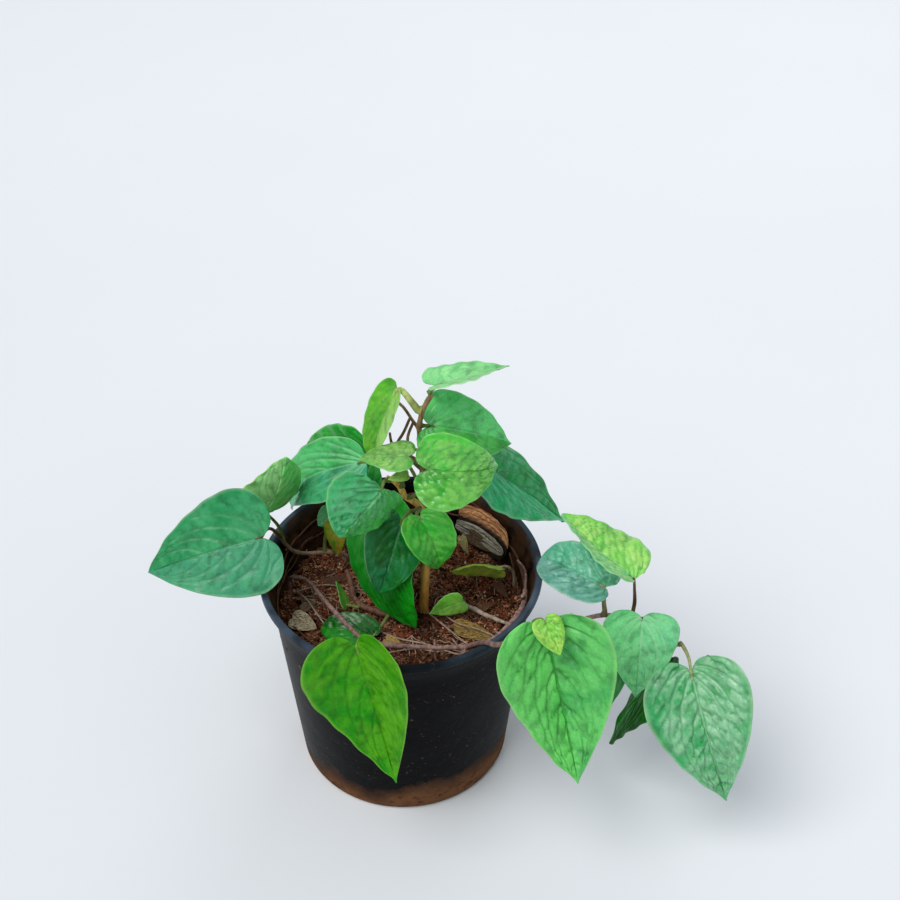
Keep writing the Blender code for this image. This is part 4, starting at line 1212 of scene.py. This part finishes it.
def soil_block():
    """The root ball: a lumpy top, a tapering side and a flat foot."""
    outer = wall_radius(SOIL_EDGE) - POT_WALL - GAP
    low = POT_WALL + GAP
    bottom = wall_radius(low) - POT_WALL - GAP
    shape = bmesh.new()
    centre = shape.verts.new((0, 0, soil_surface(0, 0)))
    loops = [soil_loop(shape, outer * i / SOIL_RINGS, soil_surface) for i in range(1, SOIL_RINGS + 1)]
    for share, drop in ((0.03, 1 * MM), (0.4, 0), (1.0, 0)):
        loops.append(soil_loop(shape, outer + (bottom - outer) * share,
                               SOIL_EDGE + (low - SOIL_EDGE) * share - drop))
    foot = shape.verts.new((0, 0, low))
    for k in range(SOIL_TURNS):
        n = (k + 1) % SOIL_TURNS
        shape.faces.new((centre, loops[0][k], loops[0][n]))
        for inside, outside in zip(loops, loops[1:]):
            shape.faces.new((inside[k], outside[k], outside[n], inside[n]))
        shape.faces.new((loops[-1][k], foot, loops[-1][n]))
    return closed_mesh("visual_soil", shape)


def build_soil():
    """The root ball and what is strewn over it."""
    mesh = soil_block()
    mesh.materials.append(soil_finish())
    soil = shown("visual_soil", mesh)
    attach(soil, "root")
    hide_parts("soil")
    for name, (bit, density, smallest, largest, tilt, seed, title, tints) in STREWS.items():
        skin = crumb_finish(title, *(tint(*colour) for colour in tints))
        strew(name, mesh, bit(), density, smallest, largest, tilt, seed, skin)


def crumb_bit():
    """An uneven crumb of peat."""
    shape = bmesh.new()
    bmesh.ops.create_icosphere(shape, subdivisions=1, radius=CRUMB_RADIUS)
    for i, vert in enumerate(shape.verts):
        vert.co *= 1 + 0.28 * math.sin(i * 2.4)
    return shown("crumb", as_mesh("crumb", shape))


def fibre_bit():
    """A short bent fibre of three sides."""
    shape = bmesh.new()
    rings = []
    for i in range(6):
        along = (i / 5 - 0.5) * FIBRE_LENGTH
        bend = FIBRE_BEND * math.cos(1.1 * (i / 5 - 0.5) * math.pi)
        ring = [shape.verts.new((along, bend + FIBRE_RADIUS * math.cos(2.094 * k),
                                 0.25 * MM + FIBRE_RADIUS * math.sin(2.094 * k))) for k in range(3)]
        rings.append(ring)
    for a, b in zip(rings, rings[1:]):
        for k in range(3):
            shape.faces.new((a[k], a[(k + 1) % 3], b[(k + 1) % 3], b[k]))
    shape.faces.new(rings[0])
    shape.faces.new(rings[-1])
    bmesh.ops.recalc_face_normals(shape, faces=shape.faces)
    return shown("fibre", as_mesh("fibre", shape))


# What is strewn over the soil: its shape, how many to the square metre, the smallest and
# largest stretch, tilt, seed, and a finish of three colours

STREWS = {
    "soil_crumbs": (crumb_bit, 330000, (0.4, 0.35, 0.3), (1.5, 1.2, 0.9), ANY_TURN, 4,
                    "peat_crumbs", ((34, 16, 10), (142, 78, 50), (250, 206, 172))),
    "soil_clods": (crumb_bit, 60000, (1.0, 0.9, 0.6), (3.4, 2.5, 1.7), ANY_TURN, 11,
                   "peat_clods", ((32, 15, 10), (132, 70, 45), (206, 150, 114))),
    "soil_fibres": (fibre_bit, 62000, (0.5, 0.7, 0.7), (1.6, 1.5, 1.5), 0.35, 9,
                    "peat_fibres", ((130, 88, 66), (196, 156, 126), (236, 214, 192))),
}


def strew(name, ground, bit, density, smallest, largest, tilt, seed, skin):
    """Bits over the soil's top, as one mesh."""
    mesh = grown(shown(name + "_ground", ground.copy()), STREWN, STREWN_KEYS, {
        "Bits per area": float(density), "Smallest": smallest, "Largest": largest, "Tilt": tilt,
        "Bit": bit, "Seed": seed, "Finish": skin})
    bpy.data.objects.remove(bit, do_unlink=True)
    item = shown(name, mesh)
    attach(item, "root")


# Bark and dead leaves lying in the pot

SCRAPS = {
    # blade, light colour, dark colour, stretch of the fibres, where the painted shadow begins
    "bark_strip": (leaf((30.2, 56.8, 110.6), (56.8, 30.2, 110.6), 24, (-45, 15), (0, 0), -0.06, 0.0,
                        0.35, 0.0), (255, 186, 134), (142, 66, 38), (2.0, 0.3, 1), -0.28),
    "strip_grey": (leaf((29.1, 55, 108.1), (54.7, 29.6, 108.1), 9, (-45, 15), (0, 0), -0.0625, 0.0,
                        0.35, 0.0), (200, 188, 174), (40, 35, 32), (0.9, 0.2, 1), 1.5),
    "leaf_dead_olive": (leaf((28, -19, 101.1), (50, -29, 101.1), 10, (-10, 70), (12, 18), 0.0, 0.05, 0.8,
                             0.0), (170, 140, 66), (80, 58, 32), (1.5, 0.8, 1), 1.5),
    "leaf_dead_grey": (leaf((-57, -14, 101.75), (-44, -20, 100.25), 11, (15, 55), (10, 20), 0.05, 0.05,
                            0.8, 0.0), (222, 206, 172), (112, 92, 70), (1.5, 0.8, 1), 1.5),
}


# Torn bits on the soil: blade and colour
SHREDS = (
    (leaf((32, 41, 110), (36, 36, 101.5), 5, (-20, 35), (10, 10), 0.05), (214, 196, 140)),
    (leaf((37, 46, 107.5), (49, 37, 102.3), 8, (-30, 40), (22, 8), -0.06), (122, 98, 76)),
    (leaf((-7, -30, 102.6), (3, -36, 101.9), 6, (10, 60), (20, 20), 0.1), (190, 160, 96)),
    (leaf((40, -9, 102.2), (50, -3, 102.0), 4, (-10, 60), (20, 0), 0.1), (140, 96, 66)),
    (leaf((-41, 12, 103.2), (-30, 16, 103.2), 5, (-10, 55), (0, 22), 0.08), (120, 82, 58)),
    (leaf((8, -49, 101.6), (18, -52, 101.3), 4, (0, 65), (15, 15), 0.1), (170, 136, 104)),
    (leaf((51, 13, 102.6), (57, 1, 101.8), 6, (-40, 45), (25, 5), 0.06), (104, 66, 46)),
    (leaf((-52, -8, 102.8), (-45, -2, 102.6), 5, (30, 55), (10, 24), 0.08), (150, 120, 92)))


def build_shreds():
    """Torn dry bits, all one piece."""
    dry = look((120, 90, 60), (120, 90, 60), quilt=0.6, cell=3.5, groove=0.25)
    meshes = []
    skins = []
    for order, (form, (red, green, blue)) in enumerate(SHREDS):
        name = "shred_%d" % order
        meshes.append(blade_mesh(name, form, dry, 90 + order))
        skins.append(scrap_finish(name, tint(red, green, blue), tint(red * 0.6, green * 0.55, blue * 0.5),
                                  (1.5, 0.8, 1)))
    item = joined("dry_shreds", meshes, skins)
    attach(item, "root")


def build_scraps():
    """The bark strip, the grey band and the two dead leaves."""
    dry = look((120, 90, 60), (120, 90, 60), quilt=0.5, cell=4.0, groove=0.25)
    for order, (name, (form, light, dark, fibres, shaded)) in enumerate(SCRAPS.items()):
        mesh = blade_mesh(name, form, dry, 50 + order)
        skin = scrap_finish(name + "_dry", tint(*light), tint(*dark), fibres, shaded)
        item = joined("visual_" + name, [mesh], [skin])
        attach(item, "root")
        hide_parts(name)


# Rootlets and dry threads over the soil, in mm, with their radii

THREADS = {
    "threads_pale": ((196, 172, 150), [
        ([(-58, 6, 104), (-50, -4, 106), (-44, -14, 105), (-38, -22, 103)], 0.45, 0.3),
        ([(-12, -24, 103), (0, -30, 103), (14, -35, 104), (30, -44, 106), (36, -48, 112)], 0.5, 0.35),
        ([(16, -12, 102), (24, -22, 103), (34, -34, 104), (44, -42, 106)], 0.5, 0.3),
        ([(-6, -38, 101), (8, -36, 102), (20, -38, 102), (33, -33, 103)], 0.4, 0.25),
        ([(22, -12, 103), (30, -20, 104), (40, -24, 104), (52, -30, 103)], 0.45, 0.3),
        ([(-30, 8, 104), (-44, 8, 105), (-56, 4, 104)], 0.4, 0.3),
    ]),
    "threads_brown": ((120, 84, 62), [
        ([(58, 26, 112), (60, 18, 108), (62, 6, 104), (61, -8, 101)], 0.5, 0.3),
        ([(20, 30, 103), (34, 26, 103), (48, 22, 103), (58, 10, 102)], 0.5, 0.3),
        ([(-20, -44, 101), (-4, -50, 102), (14, -54, 102), (34, -48, 102)], 0.5, 0.3),
        ([(30, 6, 103), (38, -4, 103), (50, -8, 102)], 0.4, 0.25),
        ([(-56, -20, 102), (-46, -30, 101), (-34, -40, 101)], 0.45, 0.3),
    ]),
}


def wandering(seed):
    """A rootlet's route over the soil: it starts anywhere and turns a little at each step."""
    draw = np.random.default_rng(seed)
    ring = STREWN_RING * math.sqrt(draw.uniform(0.02, 1))
    turn = draw.uniform(0, 2 * math.pi)
    x, y = ring * math.cos(turn), ring * math.sin(turn)
    heading = draw.uniform(0, 2 * math.pi)
    route = []
    for _ in range(int(draw.integers(5, 12))):
        if math.hypot(x, y) > ROOTLET_RING:
            break
        route.append(Vector((x, y, soil_surface(x, y) + draw.uniform(0.2, 1.4) * MM)))
        heading += draw.normal(0, 0.45)
        x += 3.6 * MM * math.cos(heading)
        y += 3.6 * MM * math.sin(heading)
    return route


def fan(start, heading, spread, count, seed):
    """Fine rootlets that fan out over the soil from one place, in mm and degrees."""
    draw = np.random.default_rng(seed)
    routes = []
    for k in range(count):
        turn = math.radians(heading + spread * (k / (count - 1) - 0.5) + draw.normal(0, 5))
        x, y = start[0] * MM, start[1] * MM
        route = []
        for _ in range(int(draw.integers(5, 9))):
            route.append(Vector((x, y, soil_surface(x, y) + draw.uniform(0.3, 2.0) * MM)))
            turn += draw.normal(0, 0.22)
            x += 2.7 * MM * math.cos(turn)
            y += 2.7 * MM * math.sin(turn)
        routes.append(route)
    return routes


def spurs(name, first, last, count, seed):
    """Short rootlets at the nodes of a runner, from inside it outward."""
    draw = np.random.default_rng(seed)
    route = stem_route(name)
    routes = []
    for share in np.linspace(first, last, count):
        here = route[int((share + draw.uniform(-0.01, 0.01)) * (len(route) - 1))]
        turn = draw.uniform(0, 2 * math.pi)
        away = Vector((math.cos(turn), math.sin(turn), draw.uniform(-0.9, 0.4))).normalized()
        reach = draw.uniform(2.4, 4.6) * MM
        droop = Vector((0, 0, -0.25 * reach))
        routes.append([here, here + away * reach * 0.6, here + away * reach + droop])
    return routes


# Where each fan starts, its heading and spread in degrees and its rootlets
FANS = (((-54, 2), -25, 90, 8), ((-36, -14), 60, 200, 7), ((6, -27), -85, 80, 6), ((24, -22), 30, 150, 6),
        ((34, -38), 165, 60, 5), ((-20, 6), 190, 100, 5))


def on_wall(start, end, high, low, waves, seed):
    """A root's route along the inner wall between two angles in degrees."""
    draw = np.random.default_rng(seed)
    route = []
    for share in np.linspace(0, 1, 16):
        z = (high + (low - high) * share + 1.3 * math.sin(waves * share * math.pi + seed)) * MM
        z += draw.normal(0, 0.3) * MM
        turn = math.radians(start + (end - start) * share)
        r = wall_radius(z) - POT_WALL - 0.7 * MM
        route.append(Vector((r * math.cos(turn), r * math.sin(turn), z)))
    return route


WALL_ROOTS = ((62, -18, 121, 103, 3, 1), (48, -30, 116, 101, 5, 2), (75, 30, 113, 104, 4, 3),
              (128, 196, 120, 104, 3, 4), (110, 170, 114, 102, 5, 5), (140, 214, 109, 101, 4, 6),
              (20, -34, 108, 100, 3, 7), (84, 124, 119, 110, 3, 8))


def thread_skin(name, colour):
    """Finish of a thread from its light colour."""
    return stalk_finish(name, *shades(colour, (0.85, 0.8, 0.8), (0.6, 0.55, 0.55)), 0.75)


# Radii in mm at the foot and at the end of the rootlets of a fan, of a node and of the wall
FAN_GIRTH = (0.27, 0.16)
SPUR_GIRTH = (0.42, 0.15)
WALL_GIRTH = (0.55, 0.3)
LOOSE_ROOTLETS = 46


def build_threads():
    """All loose rootlets and threads, as a pale and a brown piece."""
    routes = {name: [(smooth_route([point(*place) for place in points], 8), foot, end)
                     for points, foot, end in runs] for name, (_, runs) in THREADS.items()}
    for seed in range(LOOSE_ROOTLETS):
        route = wandering(seed)
        if len(route) > 3:
            name = "threads_pale" if seed % 3 else "threads_brown"
            routes[name].append((smooth_route(route, 4), 0.22 + 0.14 * (seed % 4 == 0), 0.15))
    fans = [route for seed, given in enumerate(FANS) for route in fan(*given, seed)]
    hairs = spurs("runner_front", 0.12, 0.93, 30, 5) + spurs("runner_left", 0.2, 0.8, 8, 6)
    climbers = [on_wall(*run) for run in WALL_ROOTS]
    for name, more, girth in (("threads_pale", fans, FAN_GIRTH), ("threads_pale", hairs, SPUR_GIRTH),
                              ("threads_brown", climbers, WALL_GIRTH)):
        routes[name] += [(smooth_route(route, 3), *girth) for route in more]
    for name, (colour, _) in THREADS.items():
        skin = thread_skin(name, colour)
        meshes = [stalk(route, foot * MM, end * MM, skin, sides=6, uneven=0.12)
                  for route, foot, end in routes[name]]
        item = joined(name, meshes, [skin])
        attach(item, "root")


# Floor, light and camera

def aim(lamp, place):
    """A lamp at its place, turned to the plant."""
    lamp.location = place
    lamp.rotation_euler = (point(0, 0, 120) - Vector(place)).to_track_quat("-Z", "Y").to_euler()


def build_floor():
    """The pale paper under the pot."""
    shape = bmesh.new()
    bmesh.ops.create_grid(shape, x_segments=1, y_segments=1, size=FLOOR_REACH)
    floor = shown("floor", as_mesh("floor", shape))
    made, tree, shader = finish("floor_paper")
    soft = ramp(tree, grain(tree, place_on(tree), 3, 2), 0.3, 0.7)
    paper = mix(tree, soft, (0.78, 0.806, 0.842, 1), (0.795, 0.822, 0.86, 1))
    settle(tree, shader, {"Base Color": paper, "Roughness": 0.9})
    floor.data.materials.append(made)


def build_light():
    """A bright pale room, a broad key lamp and two soft ones."""
    world = bpy.data.worlds.new("studio")
    bpy.context.scene.world = world
    world.use_nodes = True
    tree = world.node_tree
    sky = tree.nodes["Background"]
    seen = add(tree, "ShaderNodeLightPath").outputs["Is Camera Ray"]
    feed(tree, sky.inputs["Color"], (0.86, 0.92, 1.0, 1))
    feed(tree, sky.inputs["Strength"], ramp(tree, seen, 0, 1, SKY_LIGHT, SKY_SEEN))
    key = bpy.data.lights.new("key", "SUN")
    key.energy = KEY_LIGHT
    key.angle = KEY_SPREAD
    key.color = (1.0, 0.985, 0.95)
    aim(shown("key", key), KEY_PLACE)
    for name, place, size, power in (("fill", (1.5, -1.1, 1.2), 1.4, 3.5),
                                     ("rim", (0.4, 1.2, 1.5), 0.8, 4.5)):
        lamp = bpy.data.lights.new(name, "AREA")
        lamp.size = size
        lamp.energy = power
        aim(shown(name, lamp), place)
    bpy.context.scene.view_settings.view_transform = "Standard"


def build_camera():
    """The camera, at the photograph's place."""
    view = bpy.data.cameras.new("camera")
    view.lens = CAMERA_LENS
    view.sensor_width = 36
    camera = shown("camera", view)
    camera.location = CAMERA_PLACE
    camera.rotation_euler = (CAMERA_TILT, 0, 0)
    bpy.context.scene.camera = camera


build_floor()
build_light()
build_camera()
build_pot()
build_soil()
build_stems()
build_leaves()
build_scraps()
build_shreds()
build_threads()
